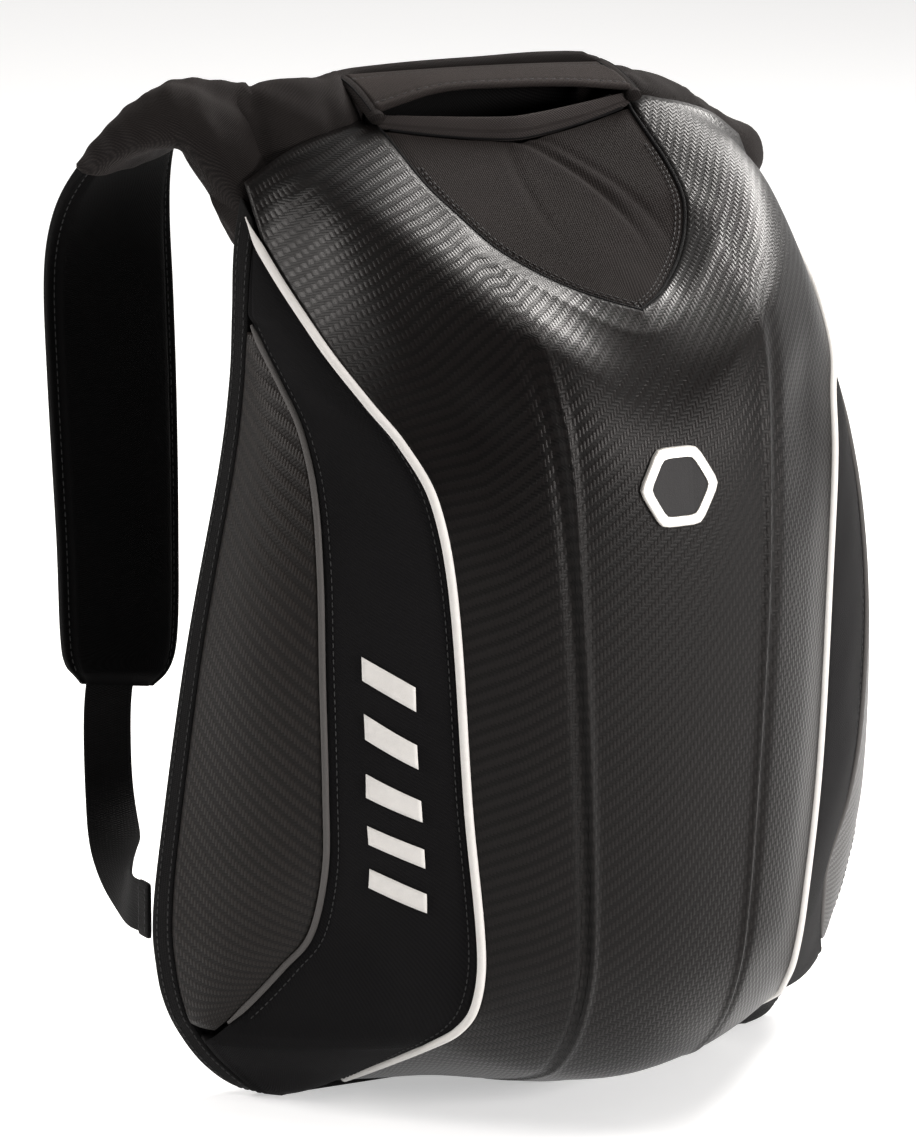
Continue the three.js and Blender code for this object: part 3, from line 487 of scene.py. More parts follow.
def stitches(name, line, finish, length=0.0026, gap=0.0012, thickness=0.0006):
    """A row of separate stitches along a line of points, sunk a little into the cloth."""
    middles = evenly(line, length + gap)
    along = np.gradient(middles, axis=0)
    along /= np.linalg.norm(along, axis=1, keepdims=True)
    side = np.cross(along, (0.13, 0.21, 0.97))
    side /= np.linalg.norm(side, axis=1, keepdims=True)
    top = np.cross(side, along)
    points, faces = [], []
    for ahead, swell in ((-0.5, 0.3), (-0.3, 1), (0.3, 1), (0.5, 0.3)):
        for turn in np.linspace(0, 2 * math.pi, 6, endpoint=False):
            points.append(middles + along * ahead * length
                          + (side * math.cos(turn) + top * math.sin(turn)) * thickness / 2 * swell)
    points = np.stack(points, 1)
    for stitch in range(len(middles)):
        first = stitch * 24
        for ring in range(3):
            for i in range(6):
                a, b = first + ring * 6 + i, first + ring * 6 + (i + 1) % 6
                faces.append([a, b, b + 6, a + 6])
        faces.append([first + i for i in reversed(range(6))])
        faces.append([first + 18 + i for i in range(6)])
    uv = np.zeros((points.shape[0] * 24, 2))
    return piece(name, points, faces, uv, finish)


thread = Finish("sewing_thread")
thread_place = thread.node("ShaderNodeTexCoord", (), (), "Object")
twist = thread.noise(thread_place, 2400.0, 2.0, 0.5)
dark_thread = thread.surface(twist, 0.0001, Base_Color=thread.blend(
    (0.004, 0.0038, 0.0038, 1), (0.020, 0.018, 0.018, 1), twist), Roughness=0.7)
patch_cloth = twill_finish("patch_twill", (0.0024, 0.0020, 0.0019, 1), (0.0180, 0.0145, 0.0134, 1),
                           0.00115, -0.30)


def patch_edge(share):
    """The patch's edge: beside the shell's edge, inside the V."""
    along = shell_top(np.minimum(share + 0.02, 1)) - shell_top(np.maximum(share - 0.02, 0))
    inward = np.cross(patch_facing, along)
    inward /= np.linalg.norm(inward, axis=-1, keepdims=True)
    return shell_top(share) + inward * (SEAM + CLEARANCE)


down = np.linspace(0, 1, 64)
share = np.linspace(-1, 1, 91)
edges = patch_edge(1 - down)
tip = patch_edge(np.array([0.0]))[0]
spine = hem_low + (tip - hem_low) * down[:, None]
patch_grid = spine[:, None] + (edges - spine)[:, None] * (np.abs(share) ** 1.5)[None, :, None]
patch_grid[..., 0] = share[None] * np.maximum(edges[:, 0], CLEARANCE)[:, None]
behind_lip = (1 - smooth_step(down, 0, 0.05))[:, None] * (LIP_DIAMETER / 2 + CLEARANCE)
patch_grid[..., 1] -= behind_lip
patch_grid[..., 2] -= SEAM + behind_lip / 2
across_patch, down_patch = np.meshgrid(share, down)
folds = np.zeros_like(across_patch)
for start, slope, depth, width in ((0.02, 1.35, 0.0016, 0.055), (0.14, 1.75, 0.0009, 0.05),
                                   (-0.10, -0.55, 0.0007, 0.06)):
    crease = across_patch - start - slope * down_patch
    folds -= depth * np.exp(-(crease / width) ** 2) * (1 - smooth_step(down_patch, 0.25, 0.62))
edge_dip = np.exp(-((1 - np.abs(across_patch)) / 0.05) ** 2) + np.exp(-((1 - down_patch) / 0.04) ** 2)
patch_grid = patch_grid + patch_facing * (folds - 0.0006 * edge_dip + 0.0007)[..., None]
patch_uv = np.stack([patch_grid[..., 0], (1 - down_patch) * 0.09], -1)
top_patch = sheet("top_patch_twill", patch_grid, patch_cloth, PATCH_WALL, patch_uv)
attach(top_patch, "root")
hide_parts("top_patch")

black_cloth = twill_finish("black_weave", (0.0015, 0.0015, 0.0016, 1), (0.009, 0.0086, 0.009, 1),
                           0.0009, 1.0, 0.8, 0.06)
round_v = np.concatenate([np.linspace(1, 0, 70), np.linspace(0, 1, 70)[1:]])
side_of_v = np.concatenate([-np.ones(70), np.ones(69)])[:, None]
mirror = np.concatenate([side_of_v, np.ones_like(side_of_v), np.ones_like(side_of_v)], 1)
welt_line = (shell_top(round_v) * 0.45 + patch_edge(round_v) * 0.55) * mirror - patch_facing * 0.0006
welt = tube("patch_welt", welt_line, (0.0010, 0.0009), black_cloth, 8)
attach(welt, "root")


def patch_seam(inset):
    """A line on the patch, a given distance inside its edge."""
    line = patch_edge(round_v) * mirror
    along = np.gradient(line, axis=0)
    inward = np.cross(along, patch_facing)
    inward /= np.linalg.norm(inward, axis=1, keepdims=True)
    return line + inward * inset * -1 - np.array([0, 0, SEAM]) + patch_facing * 0.0009


for number, inset in enumerate((0.0022, 0.0042)):
    seam = stitches(f"patch_stitches_{number + 1}", patch_seam(inset)[6:-6], dark_thread)
    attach(seam, "root")


# Hand pocket
# The pocket's mouth has a broad rolled hem of the same twill, and behind it a dark lining
# closes the hollow under the carry handle.
LINING_WALL = 0.0008
HANDLE_REAR = 0.216 * DEPTH
mouth = np.linspace(-1, 1, 90)
corner = shell_top(np.array([1.0]))[0]
lip_line = hem_low + (corner - hem_low) * (np.abs(mouth) ** 1.5)[:, None]
lip_line[:, 0] = mouth * (corner[0] - 0.0012)
lip_cloth = twill_finish("lip_twill", (0.0060, 0.0053, 0.0052, 1), (0.048, 0.041, 0.039, 1), 0.0013, 0.9)
turn = np.linspace(0, 2 * math.pi, 20, endpoint=False)
swell = 0.55 + 0.45 * (1 - np.abs(mouth) ** 2)
profile = np.stack([np.zeros(20), -np.cos(turn) * 0.0017 + np.sin(turn) * 0.0014,
                    np.sin(turn) * 0.0056 + 0.0036], -1)
lip_rings = lip_line[:, None] + profile[None] * np.stack([swell, swell, swell], -1)[:, None]
pocket_lip = loft("pocket_hem", lip_rings, lip_cloth)
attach(pocket_lip, "root")
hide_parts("pocket_lip")
hem_seam = tube("pocket_hem_seam", lip_line[3:-3] + (0, -0.0016, -0.0010), (0.0007, 0.0007), black_cloth, 8)
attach(hem_seam, "root")

inner = mouth[3:-3] * 0.97
lining_rows = []
for across in inner:
    lip = hem_low + (corner - hem_low) * abs(across) ** 1.5
    front = lip[1] + 0.0016 + CLEARANCE
    rear = HANDLE_REAR - LINING_WALL + ORIGIN[1]
    floor_height = pocket_low[2] + (corner[2] - pocket_low[2]) * across ** 2 - LIP_DIAMETER / 2
    knots = np.array([
        (front, lip[2] + 0.0060), (front + (rear - front) * 0.1, lip[2] - 0.0030),
        (front + (rear - front) * 0.3, floor_height), (front + (rear - front) * 0.8, floor_height),
        (rear - 0.001, floor_height + 0.0015), (rear, floor_height + LIP_DIAMETER),
        (rear, 1.031 * HEIGHT - 0.006)])
    run = np.concatenate([[0], np.cumsum(np.linalg.norm(np.diff(knots, axis=0), axis=1))])
    even = np.linspace(0, run[-1], 40)
    lining_rows.append(np.stack([
        np.full(40, across * (corner[0] - LIP_DIAMETER)),
        np.interp(even, run, knots[:, 0]), np.interp(even, run, knots[:, 1])], 1))
lining_cloth = twill_finish(
    "pocket_mesh", (0.0009, 0.0009, 0.0010, 1), (0.009, 0.0085, 0.0085, 1), 0.0016, 1.0)
lining = sheet(
    "pocket_lining_cloth", np.array(lining_rows), lining_cloth, LINING_WALL, inside=(0, 0.02, 0.40))
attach(lining, "root")
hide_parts("pocket_lining")


# Carry handle
# A wide stitched band crosses the pocket. Its front edge is folded under and sewn, and a
# second row of thread runs along the band near its rear edge.
HANDLE_THICKNESS = 0.003
HANDLE = np.array([
    (-0.352, 0.010, 1.011, 0.216, 1.036), (-0.180, 0.014, 1.026, 0.216, 1.034),
    (0.000, 0.016, 1.025, 0.216, 1.032), (0.180, 0.014, 1.020, 0.216, 1.029),
    (0.352, 0.010, 1.010, 0.216, 1.025)])


def through_rows(table, places):
    """A table's other columns, read smoothly at places of its first column or row number."""
    keys = table[:, 0]
    i = np.clip(np.searchsorted(keys, places, side="right") - 1, 0, len(keys) - 2)
    slopes = np.gradient(table[:, 1:], keys, axis=0)
    span = (keys[i + 1] - keys[i])[:, None]
    t = ((places - keys[i])[:, None] / span)
    a, b = table[i, 1:], table[i + 1, 1:]
    return (a * (2 * t**3 - 3 * t**2 + 1) + slopes[i] * (t**3 - 2 * t**2 + t) * span
            + b * (3 * t**2 - 2 * t**3) + slopes[i + 1] * (t**3 - t**2) * span)


band_places = np.linspace(-0.352, 0.352, 70)
band = through_rows(HANDLE, band_places)
front_edge = np.stack([band_places * HALF_WIDTH, band[:, 0] * DEPTH, band[:, 1] * HEIGHT], 1) + ORIGIN
rear_edge = np.stack([band_places * HALF_WIDTH, band[:, 2] * DEPTH, band[:, 3] * HEIGHT], 1) + ORIGIN
ring_share = np.concatenate([np.linspace(0, 1, 22), np.linspace(1, 0, 22)[1:-1]])
ring_lift = np.concatenate([np.full(22, 1.0), np.full(20, 0.0)])
round_off = np.minimum(1, np.minimum(ring_share, 1 - ring_share) / 0.045) ** 0.5
crown = 0.0014 * np.sin(math.pi * ring_share)
puckers = 0.00025 * np.sin(band_places * 420)[:, None] * np.exp(-((ring_share - 0.13) / 0.06) ** 2)
groove = 0.0006 * (np.exp(-((ring_share - 0.15) / 0.02) ** 2) + np.exp(-((ring_share - 0.82) / 0.02) ** 2))
heights = ((ring_lift - 0.5) * round_off + 0.5) * HANDLE_THICKNESS + crown - groove * ring_lift
band_rings = (front_edge[:, None] * (1 - ring_share)[None, :, None]
              + rear_edge[:, None] * ring_share[None, :, None])
band_rings[..., 2] += heights[None] + puckers
handle_cloth = twill_finish(
    "handle_twill", (0.0040, 0.0034, 0.0033, 1), (0.030, 0.0245, 0.0225, 1), 0.0011, 1.2)
handle = loft("carry_handle_band", band_rings, handle_cloth)
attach(handle, "root")
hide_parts("carry_handle")
for number, place in enumerate((0.15, 0.82)):
    line = front_edge * (1 - place) + rear_edge * place
    line[:, 2] += HANDLE_THICKNESS + 0.0014 * math.sin(math.pi * place) - 0.0005
    seam = stitches(f"handle_stitches_{number + 1}", line, dark_thread)
    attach(seam, "root")

yoke_cloth = twill_finish("yoke_twill", (0.0024, 0.0021, 0.0021, 1), (0.0200, 0.0168, 0.0158, 1),
                          0.0012, 1.0, 0.84, 0.12, None)
# A rolled fold closes each end of the band, from the pocket's corner back to the yoke
for name, end, bend in (("left", 0, -1), ("right", -1, 1)):
    start = front_edge[end] + (bend * 0.0008, -0.0010, -0.0034)
    finish_at = rear_edge[end] + (bend * 0.0020, 0.0060, -0.0012)
    reach = np.linspace(0, 1, 40)[:, None]
    roll_line = start * (1 - reach) + finish_at * reach
    roll_line[:, 2] += 0.0026 * np.sin(math.pi * reach[:, 0]) + 0.0018
    roll = tube(f"handle_end_fold_{name}", roll_line, (0.0042, 0.0030), yoke_cloth, 16)
    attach(roll, "root")
    for number, aside in enumerate((-0.0022, 0.0022)):
        seam_line = roll_line + (aside, 0, 0.0024)
        seam = tube(
            f"handle_end_seam_{name}_{number + 1}", seam_line[2:-2], (0.0006, 0.0005), black_cloth, 8)
        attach(seam, "root")


# Harness yoke
# Behind the handle a padded yoke joins the two shoulder straps. It is stuffed, so its twill
# swells between the seams, and piped folds cross it at both ends of the handle.
# Columns: place across, then rearward and up of the front seam, crest, rear, rear foot and
# front foot, as shares of half the width, the depth and the height
YOKE = np.array([
    (-0.705, 0.125, 0.966, 0.260, 1.032, 0.415, 1.004, 0.350, 0.944, 0.085, 0.886),
    (-0.640, 0.095, 0.961, 0.250, 1.041, 0.412, 1.004, 0.260, 0.868, 0.045, 0.864),
    (-0.560, 0.066, 0.984, 0.240, 1.048, 0.395, 1.009, 0.200, 0.863, 0.030, 0.863),
    (-0.373, 0.052, 1.001, 0.235, 1.052, 0.370, 1.017, 0.180, 0.863, 0.030, 0.863),
    (0.000, 0.052, 1.001, 0.260, 1.052, 0.365, 1.017, 0.180, 0.863, 0.030, 0.863),
    (0.373, 0.052, 1.001, 0.225, 1.040, 0.355, 1.012, 0.180, 0.863, 0.030, 0.863),
    (0.560, 0.066, 0.984, 0.215, 1.006, 0.350, 0.980, 0.190, 0.863, 0.030, 0.863),
    (0.665, 0.095, 0.956, 0.205, 0.976, 0.335, 0.950, 0.265, 0.876, 0.050, 0.866)])


def yoke_ring(places, samples):
    """Rings round the yoke: front seam, over the crest, down the rear and back underneath."""
    rows = through_rows(YOKE, places)
    corners = np.stack([np.stack([places * HALF_WIDTH, rows[:, 2 * k] * DEPTH,
                                  rows[:, 2 * k + 1] * HEIGHT], 1) for k in range(5)], 1) + ORIGIN
    front, crest, rear, rear_foot, front_foot = (corners[:, k] for k in range(5))
    knots = [front, (front + crest) / 2 + (0, -0.001, 0.003), crest,
             crest * 0.45 + rear * 0.55 + (0, 0.001, 0.0025), rear, (rear + rear_foot) / 2,
             rear_foot, front_foot]
    ring = []
    for sample in range(samples):
        place = sample / samples * len(knots)
        i = int(place)
        around = [knots[(i + k) % len(knots)] for k in (-1, 0, 1, 2)]
        ring.append(through(*around, place - i))
    return np.stack(ring, 1)


def swollen(body, pressure, cap, voxel, loose):
    """The body remeshed and blown up a little as cloth. No point moves further than `cap`
    times its share in `loose`."""
    bpy.context.view_layer.objects.active = body
    remesh = body.modifiers.new("even", "REMESH")
    remesh.mode = "VOXEL"
    remesh.voxel_size = voxel
    remesh.use_smooth_shade = True
    evened = body.modifiers.new("evened", "SMOOTH")
    evened.factor = 0.5
    evened.iterations = 6
    freeze(body)
    start = np.array([v.co for v in body.data.vertices])
    cloth = body.modifiers.new("cloth", "CLOTH")
    cloth.settings.use_pressure = True
    cloth.settings.uniform_pressure_force = pressure
    cloth.settings.effector_weights.gravity = 0
    cloth.settings.quality = 5
    cloth.settings.tension_stiffness = 25
    cloth.settings.compression_stiffness = 5
    cloth.settings.bending_stiffness = 0.4
    cloth.point_cache.frame_end = 20
    for number in range(1, 21):
        bpy.context.scene.frame_set(number)
    freeze(body)
    bpy.context.scene.frame_set(1)
    moved = np.array([v.co for v in body.data.vertices]) - start
    size = np.linalg.norm(moved, axis=1, keepdims=True)
    moved *= np.minimum(1, cap * loose(start)[:, None] / np.maximum(size, 1e-9))
    body.data.vertices.foreach_set("co", (start + moved).ravel())
    return body


def freeze(body):
    """The body's modifiers applied to its mesh."""
    bpy.context.view_layer.update()
    shaped = bpy.data.meshes.new_from_object(body.evaluated_get(bpy.context.evaluated_depsgraph_get()))
    old = body.data
    body.modifiers.clear()
    body.data = shaped
    body.data.name = body.name
    bpy.data.meshes.remove(old)
    body.data.polygons.foreach_set("use_smooth", [True] * len(body.data.polygons))


yoke_places = np.linspace(-0.700, 0.660, 90)
yoke_rings = yoke_ring(yoke_places, 64)
centres = yoke_rings.mean(1, keepdims=True)
yoke_rings = centres + (yoke_rings - centres) * 0.975
yoke = loft("harness_yoke_padding", yoke_rings, yoke_cloth)
recess_rear = HANDLE_REAR + CLEARANCE + ORIGIN[1]
recess_floor = pocket_low[2] - LIP_DIAMETER - CLEARANCE
half = 0.352 * HALF_WIDTH + 2 * CLEARANCE
recess_points = np.array([(x, y, z) for x in (-half, half) for y in (-0.05, recess_rear + 0.0006)
                          for z in (recess_floor, 0.6)])
recess_faces = [[0, 1, 3, 2], [4, 6, 7, 5], [0, 4, 5, 1], [2, 3, 7, 6], [0, 2, 6, 4], [1, 5, 7, 3]]
recess = piece("recess", recess_points, recess_faces, np.zeros((8, 2)), yoke_cloth)
cut = yoke.modifiers.new("recess", "BOOLEAN")
cut.object = recess
cut.solver = "EXACT"
freeze(yoke)
bpy.data.objects.remove(recess)


def off_the_recess(points):
    beside = smooth_step(np.abs(points[:, 0]), half - 0.001, half + 0.010)
    behind = smooth_step(points[:, 1], recess_rear + 0.003, recess_rear + 0.014)
    return np.maximum(beside, behind)


swollen(yoke, 4.0, 0.0035, 0.0045, off_the_recess)
place = np.array([v.co for v in yoke.data.vertices])
share_across = place[:, 0] / HALF_WIDTH
seam_dip = np.zeros(len(place))
for seam_place, width in ((-0.375, 0.012), (-0.44, 0.010), (0.375, 0.012), (0.44, 0.010), (-0.62, 0.012)):
    seam_dip += np.exp(-((share_across - seam_place - (place[:, 1] - 0.03) * 1.2) / width) ** 2)
wrinkle = (np.sin(place[:, 0] * 260 + place[:, 1] * 190) * np.sin(place[:, 2] * 150 + place[:, 0] * 70))
ends = smooth_step(np.abs(share_across), 0.40, 0.60)
normals = np.array([v.normal for v in yoke.data.vertices])
place += normals * (0.0009 * wrinkle * ends - 0.0014 * np.minimum(seam_dip, 1))[:, None]
yoke.data.vertices.foreach_set("co", place.ravel())
smoother = yoke.modifiers.new("smooth", "SUBSURF")
smoother.levels = smoother.render_levels = 1
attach(yoke, "root")
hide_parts("harness_yoke")


# Side wings
# Behind the gussets, panels of the same film run from the edge binding to the grey trim.
# They are cut a little full, so they stand out between their seams.
BINDING_THICKNESS = 0.007
TRIM_RADIUS = 0.0016
TRIM_START = 0.16
TRIM_END = 0.89
BACK_EDGE_RAIL = (
    (0.000, 0.694, -0.083, 0.946), (0.060, 0.741, -0.030, 0.892), (0.160, 0.777, 0.036, 0.825),
    (0.260, 0.803, 0.077, 0.762), (0.370, 0.845, 0.104, 0.675), (0.530, 0.933, 0.092, 0.485),
    (0.680, 0.992, 0.050, 0.273), (0.740, 1.000, 0.030, 0.201), (0.800, 0.984, 0.012, 0.152),
    (0.850, 0.960, 0.000, 0.113), (0.890, 0.920, -0.006, 0.078), (0.930, 0.850, -0.008, 0.038),
    (0.965, 0.765, -0.004, 0.010), (1.000, 0.663, 0.000, 0.000))
TRIM_RAIL = (
    (0.160, 0.751, 0.083, 0.826), (0.210, 0.753, 0.178, 0.799), (0.260, 0.744, 0.272, 0.766),
    (0.310, 0.736, 0.367, 0.729), (0.370, 0.738, 0.453, 0.673), (0.450, 0.748, 0.512, 0.589),
    (0.530, 0.754, 0.536, 0.485), (0.610, 0.744, 0.530, 0.364), (0.680, 0.730, 0.494, 0.284),
    (0.740, 0.725, 0.396, 0.208), (0.800, 0.762, 0.302, 0.165), (0.850, 0.819, 0.183, 0.113),
    (0.890, 0.881, 0.071, 0.069))
back_edge, trim_rail = rail(BACK_EDGE_RAIL), rail(TRIM_RAIL)
LEFT, RIGHT = np.array([-1, 1, 1]), np.array([1, 1, 1])
SIDES = (("left", LEFT), ("right", RIGHT))


def unit(vectors):
    return vectors / np.linalg.norm(vectors, axis=-1, keepdims=True)


def binding_lies(at):
    """The way that the binding lies on the side of the bag, from the back edge."""
    by_trim = (smooth_step(at, 0.155, 0.20) * (1 - smooth_step(at, 0.86, 0.89)))[:, None]
    way = (unit(piping_rail(at) - back_edge(at)) * (1 - by_trim)
           + unit(trim_rail(at) - back_edge(at)) * by_trim)
    turned = smooth_step(at, BASE_TURN, 1)[:, None]
    return unit(way * (1 - turned) + np.array([0, -1, 0]) * turned)


def wing_start(at):
    return back_edge(at) + binding_lies(at) * (BINDING_WIDTH + CLEARANCE)


def trim_line(at):
    """The trim, or where there is none the inner edge of the binding."""
    reach = np.linalg.norm(trim_rail(at) - back_edge(at), axis=-1)
    on_trim = (at > TRIM_START) & (at < TRIM_END) & (reach > BINDING_WIDTH + CLEARANCE)
    return np.where(on_trim[:, None], trim_rail(at), wing_start(at))


def side_panel(first, second, at, first_gap, second_gap, crown, columns):
    """A panel between two seams of the bag's side, standing out between them."""
    start, end = first(at), second(at)
    way = unit(end - start)
    ahead = first(np.minimum(at + 0.01, 1)) - first(np.maximum(at - 0.01, 0))
    out = unit(np.cross(way, ahead))
    out *= np.where(out[:, :1] < 0, -1, 1)
    start = start + way * first_gap
    end = end - way * second_gap
    rise = np.minimum(crown, np.linalg.norm(end - start, axis=-1) * 0.07)[:, None, None]
    share = np.linspace(0, 1, columns)[None, :, None]
    bulge = out[:, None] * rise * np.sin(math.pi * share)
    return start[:, None] * (1 - share) + end[:, None] * share + bulge


side_film = film_finish("side_film", (0.0016, 0.0013, 0.0012, 1), (0.0110, 0.0086, 0.0074, 1), 0.42)
wing_places = np.linspace(0.185, 0.875, 110)
wing = side_panel(wing_start, trim_line, wing_places, 0.0001, TRIM_RADIUS, 0.005, 30)
wing_uv = laid_out(wing)
for name, turned in SIDES:
    panel = sheet(f"side_wing_film_{name}", wing * turned, side_film, 0.002, wing_uv)
    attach(panel, "root")
    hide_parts(f"side_wing_{name}")


# Side gussets
# Black woven gussets join the shell's piping to the wings. Their two long seams are
# topstitched in black thread.
gusset_places = np.concatenate([np.linspace(0.056, 0.93, 132), np.linspace(0.93, 1, 24)[1:]])
has_trim = ((gusset_places > TRIM_START) & (gusset_places < TRIM_END))[:, None]
trim_gap = np.where(has_trim, TRIM_RADIUS, 0.0004)
gusset = side_panel(trim_line, piping_rail, gusset_places, trim_gap, PIPING_RADIUS, 0.003, 36)
base_front = ORIGIN[1] - BINDING_WIDTH - CLEARANCE
gusset[-1, :, 1] = base_front
row_number, column_share = np.meshgrid(gusset_places, np.linspace(0, 1, 36), indexing="ij")
beside_seam = np.exp(-((column_share - 0.06) / 0.03) ** 2) + np.exp(-((column_share - 0.94) / 0.03) ** 2)
slack = (np.sin(row_number * 41 + column_share * 5) + np.sin(row_number * 67 - column_share * 7)) * 0.5
slack *= np.sin(math.pi * column_share) * smooth_step(row_number, 0.1, 0.3)
slack *= 1 - smooth_step(row_number, 0.85, 0.95)
gusset[..., 0] += 0.0005 * slack - 0.0007 * beside_seam
gusset_uv = laid_out(gusset)
gusset_cloth = twill_finish("gusset_weave", (0.0014, 0.0014, 0.0016, 1), (0.0100, 0.0094, 0.0098, 1),
                            0.0011, 1.0, 0.82, 0.06)
for name, turned in SIDES:
    panel = sheet(f"side_gusset_weave_{name}", gusset * turned, gusset_cloth, 0.002, gusset_uv)
    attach(panel, "root")
    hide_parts(f"side_gusset_{name}")

black_thread = Finish("black_thread")
black_thread_place = black_thread.node("ShaderNodeTexCoord", (), (), "Object")
black_twist = black_thread.noise(black_thread_place, 2400.0, 2.0, 0.5)
thread_black = black_thread.surface(black_twist, 0.0001, Base_Color=black_thread.blend(
    (0.002, 0.002, 0.0021, 1), (0.014, 0.0135, 0.0135, 1), black_twist), Roughness=0.7)
gusset_outward = unit(gusset - np.array([0, -0.06, 0.23]))
for seam_name, column, first_row, last_row in (("by_piping", 33, 8, -6), ("by_trim", 2, 18, -34)):
    line = (gusset[first_row:last_row, column] + gusset_outward[first_row:last_row, column] * 0.0002)
    for name, turned in SIDES:
        seam = stitches(f"gusset_stitches_{seam_name}_{name}", line * turned, thread_black)
        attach(seam, "root")


# Reflective bars
# Five slanted bars of thin reflective film, one above another. They are pressed on to the
# left gusset's cloth and follow its curve.
BARS_FROM = 0.500
BARS_TO = 0.705
BAR_COUNT = 5
BAR_PROUD = 0.0009
BAR_WALL = 0.0003
reflective = Finish("reflective_film")
reflective_place = reflective.node("ShaderNodeTexCoord", (), (), "Object")
beads = reflective.noise(reflective_place, 5200.0, 1.0, 0.5)
scuffs = reflective.noise(reflective_place, 160.0, 4.0, 0.65)
reflective_film = reflective.surface(
    beads, 0.00008,
    Base_Color=reflective.blend((0.40, 0.385, 0.37, 1), (0.68, 0.66, 0.63, 1), beads * 0.6 + scuffs * 0.4),
    Roughness=0.42 + scuffs * 0.2)


def on_gusset(at, across, proud):
    """Points on the gusset, at places down it and shares of its width."""
    row = np.interp(at, gusset_places, np.arange(len(gusset_places)))
    column = across * (gusset.shape[1] - 1)
    r, c = row.astype(int), column.astype(int)
    s, t = (row - r)[..., None], (column - c)[..., None]
    place = ((gusset[r, c] * (1 - t) + gusset[r, c + 1] * t) * (1 - s)
             + (gusset[r + 1, c] * (1 - t) + gusset[r + 1, c + 1] * t) * s)
    return place + unit(place - np.array([0, -0.06, place[..., 2:].mean()])) * proud


pitch = (BARS_TO - BARS_FROM) / BAR_COUNT
for number in range(BAR_COUNT):
    along_bar, over_bar = np.meshgrid(np.linspace(0, 1, 14), np.linspace(0, 1, 6), indexing="ij")
    at = BARS_FROM + pitch * (number + 0.15 + over_bar * 0.42 + along_bar * 0.38)
    across = 0.30 + 0.40 * along_bar
    bar = sheet(
        f"reflective_bar_{number + 1}", on_gusset(at, across, BAR_PROUD) * LEFT, reflective_film, BAR_WALL)
    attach(bar, "root")


# Piping and trim
# A pale reflective piping is sewn between the shell and each gusset, and a thinner grey one
# between each gusset and wing. The pale one thins out at its top.
piping_places = np.linspace(0.020, 0.987, 330)
thin = 0.15 + 0.85 * smooth_step(piping_places, 0.02, 0.07)
raised = piping_rail(piping_places)
raised[:, 0] += 0.0022 * (1 - smooth_step(piping_places, 0.10, 0.26))
grey = Finish("grey_piping")
grey_place = grey.node("ShaderNodeTexCoord", (), (), "Object")
grey_weave = grey.noise(grey_place, 2600.0, 2.0, 0.6)
grey_cloth = grey.surface(grey_weave, 0.00018, Base_Color=grey.blend(
    (0.022, 0.020, 0.019, 1), (0.070, 0.064, 0.060, 1), grey_weave), Roughness=0.7)


def side_tube(name, line, radii, finish, stands_for, taper):
    """A cord sewn down both sides of the bag, its section thinned by `taper`."""
    out = unit(line * (1, 1, 0) + np.array([0, DEPTH / 3, 0]))
    along = unit(np.gradient(line, axis=0))
    side = unit(np.cross(along, out))
    top = unit(np.cross(side, along))
    turn = np.linspace(0, 2 * math.pi, 14, endpoint=False)[None, :, None]
    taper = taper[:, None, None]
    rings = line[:, None] + (side[:, None] * np.cos(turn) * radii[0]
                             + top[:, None] * np.sin(turn) * radii[1]) * taper
    for end, turned in SIDES:
        cord = loft(f"{name}_{end}", rings * turned, finish)
        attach(cord, "root")
        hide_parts(f"{stands_for}_{end}")


side_tube("reflective_piping", raised, (0.0021, 0.0021), reflective_film,
          "piping", thin)
trim_places = np.linspace(TRIM_START + 0.015, TRIM_END - 0.025, 200)
trim_ends = smooth_step(trim_places, 0.165, 0.20) * (1 - smooth_step(trim_places, 0.845, 0.87)) * 0.6 + 0.4
side_tube("grey_trim_cord", trim_line(trim_places), (0.0016, 0.0016), grey_cloth,
          "trim", trim_ends)


# Edge binding
# A broad woven tape is folded round the back edge of the bag and along its base, and sewn
# down with two rows of thread. The bag stands on the flat of it.
BASE_END = 0.1277


def webbing_finish(name, dark, light, pitch, rough=0.78):
    """Black woven tape, with small ribs across it in staggered columns, coloured lighter on their tops and
    darker between them as painted sheen and shade.
    """
    tape = Finish(name)
    u, v, _ = tape.split(tape.node("ShaderNodeUVMap", {"uv_map": "weave"}))
    column = u / (pitch * 1.3)
    rib = (v / pitch + (math.floor(column) % 2) * 0.5).wave()
    weave = rib * (column.wave() * 0.7 + 0.3)
    place = tape.node("ShaderNodeTexCoord", (), (), "Object")
    cloud = tape.noise(place, 40.0, 3.0, 0.6)
    fuzz = tape.noise(place, 3000.0, 2.0, 0.6)
    # Painted sheen and shade: the ribs' tops are coloured lighter and the gaps between them darker, mixed
    # with random clouds of tone.
    return tape.surface(weave * 0.8 + fuzz * 0.2, pitch * 0.3, Base_Color=tape.blend(
        dark, light, weave * 0.6 + cloud * 0.4), Roughness=rough, Specular_IOR_Level=0.15,
        Specular_Tint=(0.4, 0.4, 0.4, 1),
        Sheen_Weight=0.06, Sheen_Roughness=0.5, Sheen_Tint=(0.3, 0.3, 0.3, 1))


tape = webbing_finish("binding_tape", (0.0014, 0.0014, 0.0015, 1), (0.012, 0.0115, 0.0115, 1), 0.0009)
fold = np.linspace(0, 2 * math.pi, 28, endpoint=False)
lie = 0.5 + 0.5 * np.sign(np.cos(fold)) * np.abs(np.cos(fold)) ** 0.35
deep = 0.5 + 0.5 * np.sign(np.sin(fold)) * np.abs(np.sin(fold)) ** 0.45


def binding_inward(at):
    """The way through the binding, into the bag."""
    ahead = back_edge(np.minimum(at + 0.01, 1)) - back_edge(np.maximum(at - 0.01, 0))
    inward = unit(np.cross(ahead, binding_lies(at)))
    centre = np.array([0, ORIGIN[1], HEIGHT / 2]) - back_edge(at)
    inward *= np.where((inward * centre).sum(-1, keepdims=True) < 0, -1, 1)
    level = smooth_step(at, 0.985, 1.0)[:, None]
    return unit(inward * (1 - level) + np.array([0, 0, 1]) * level)


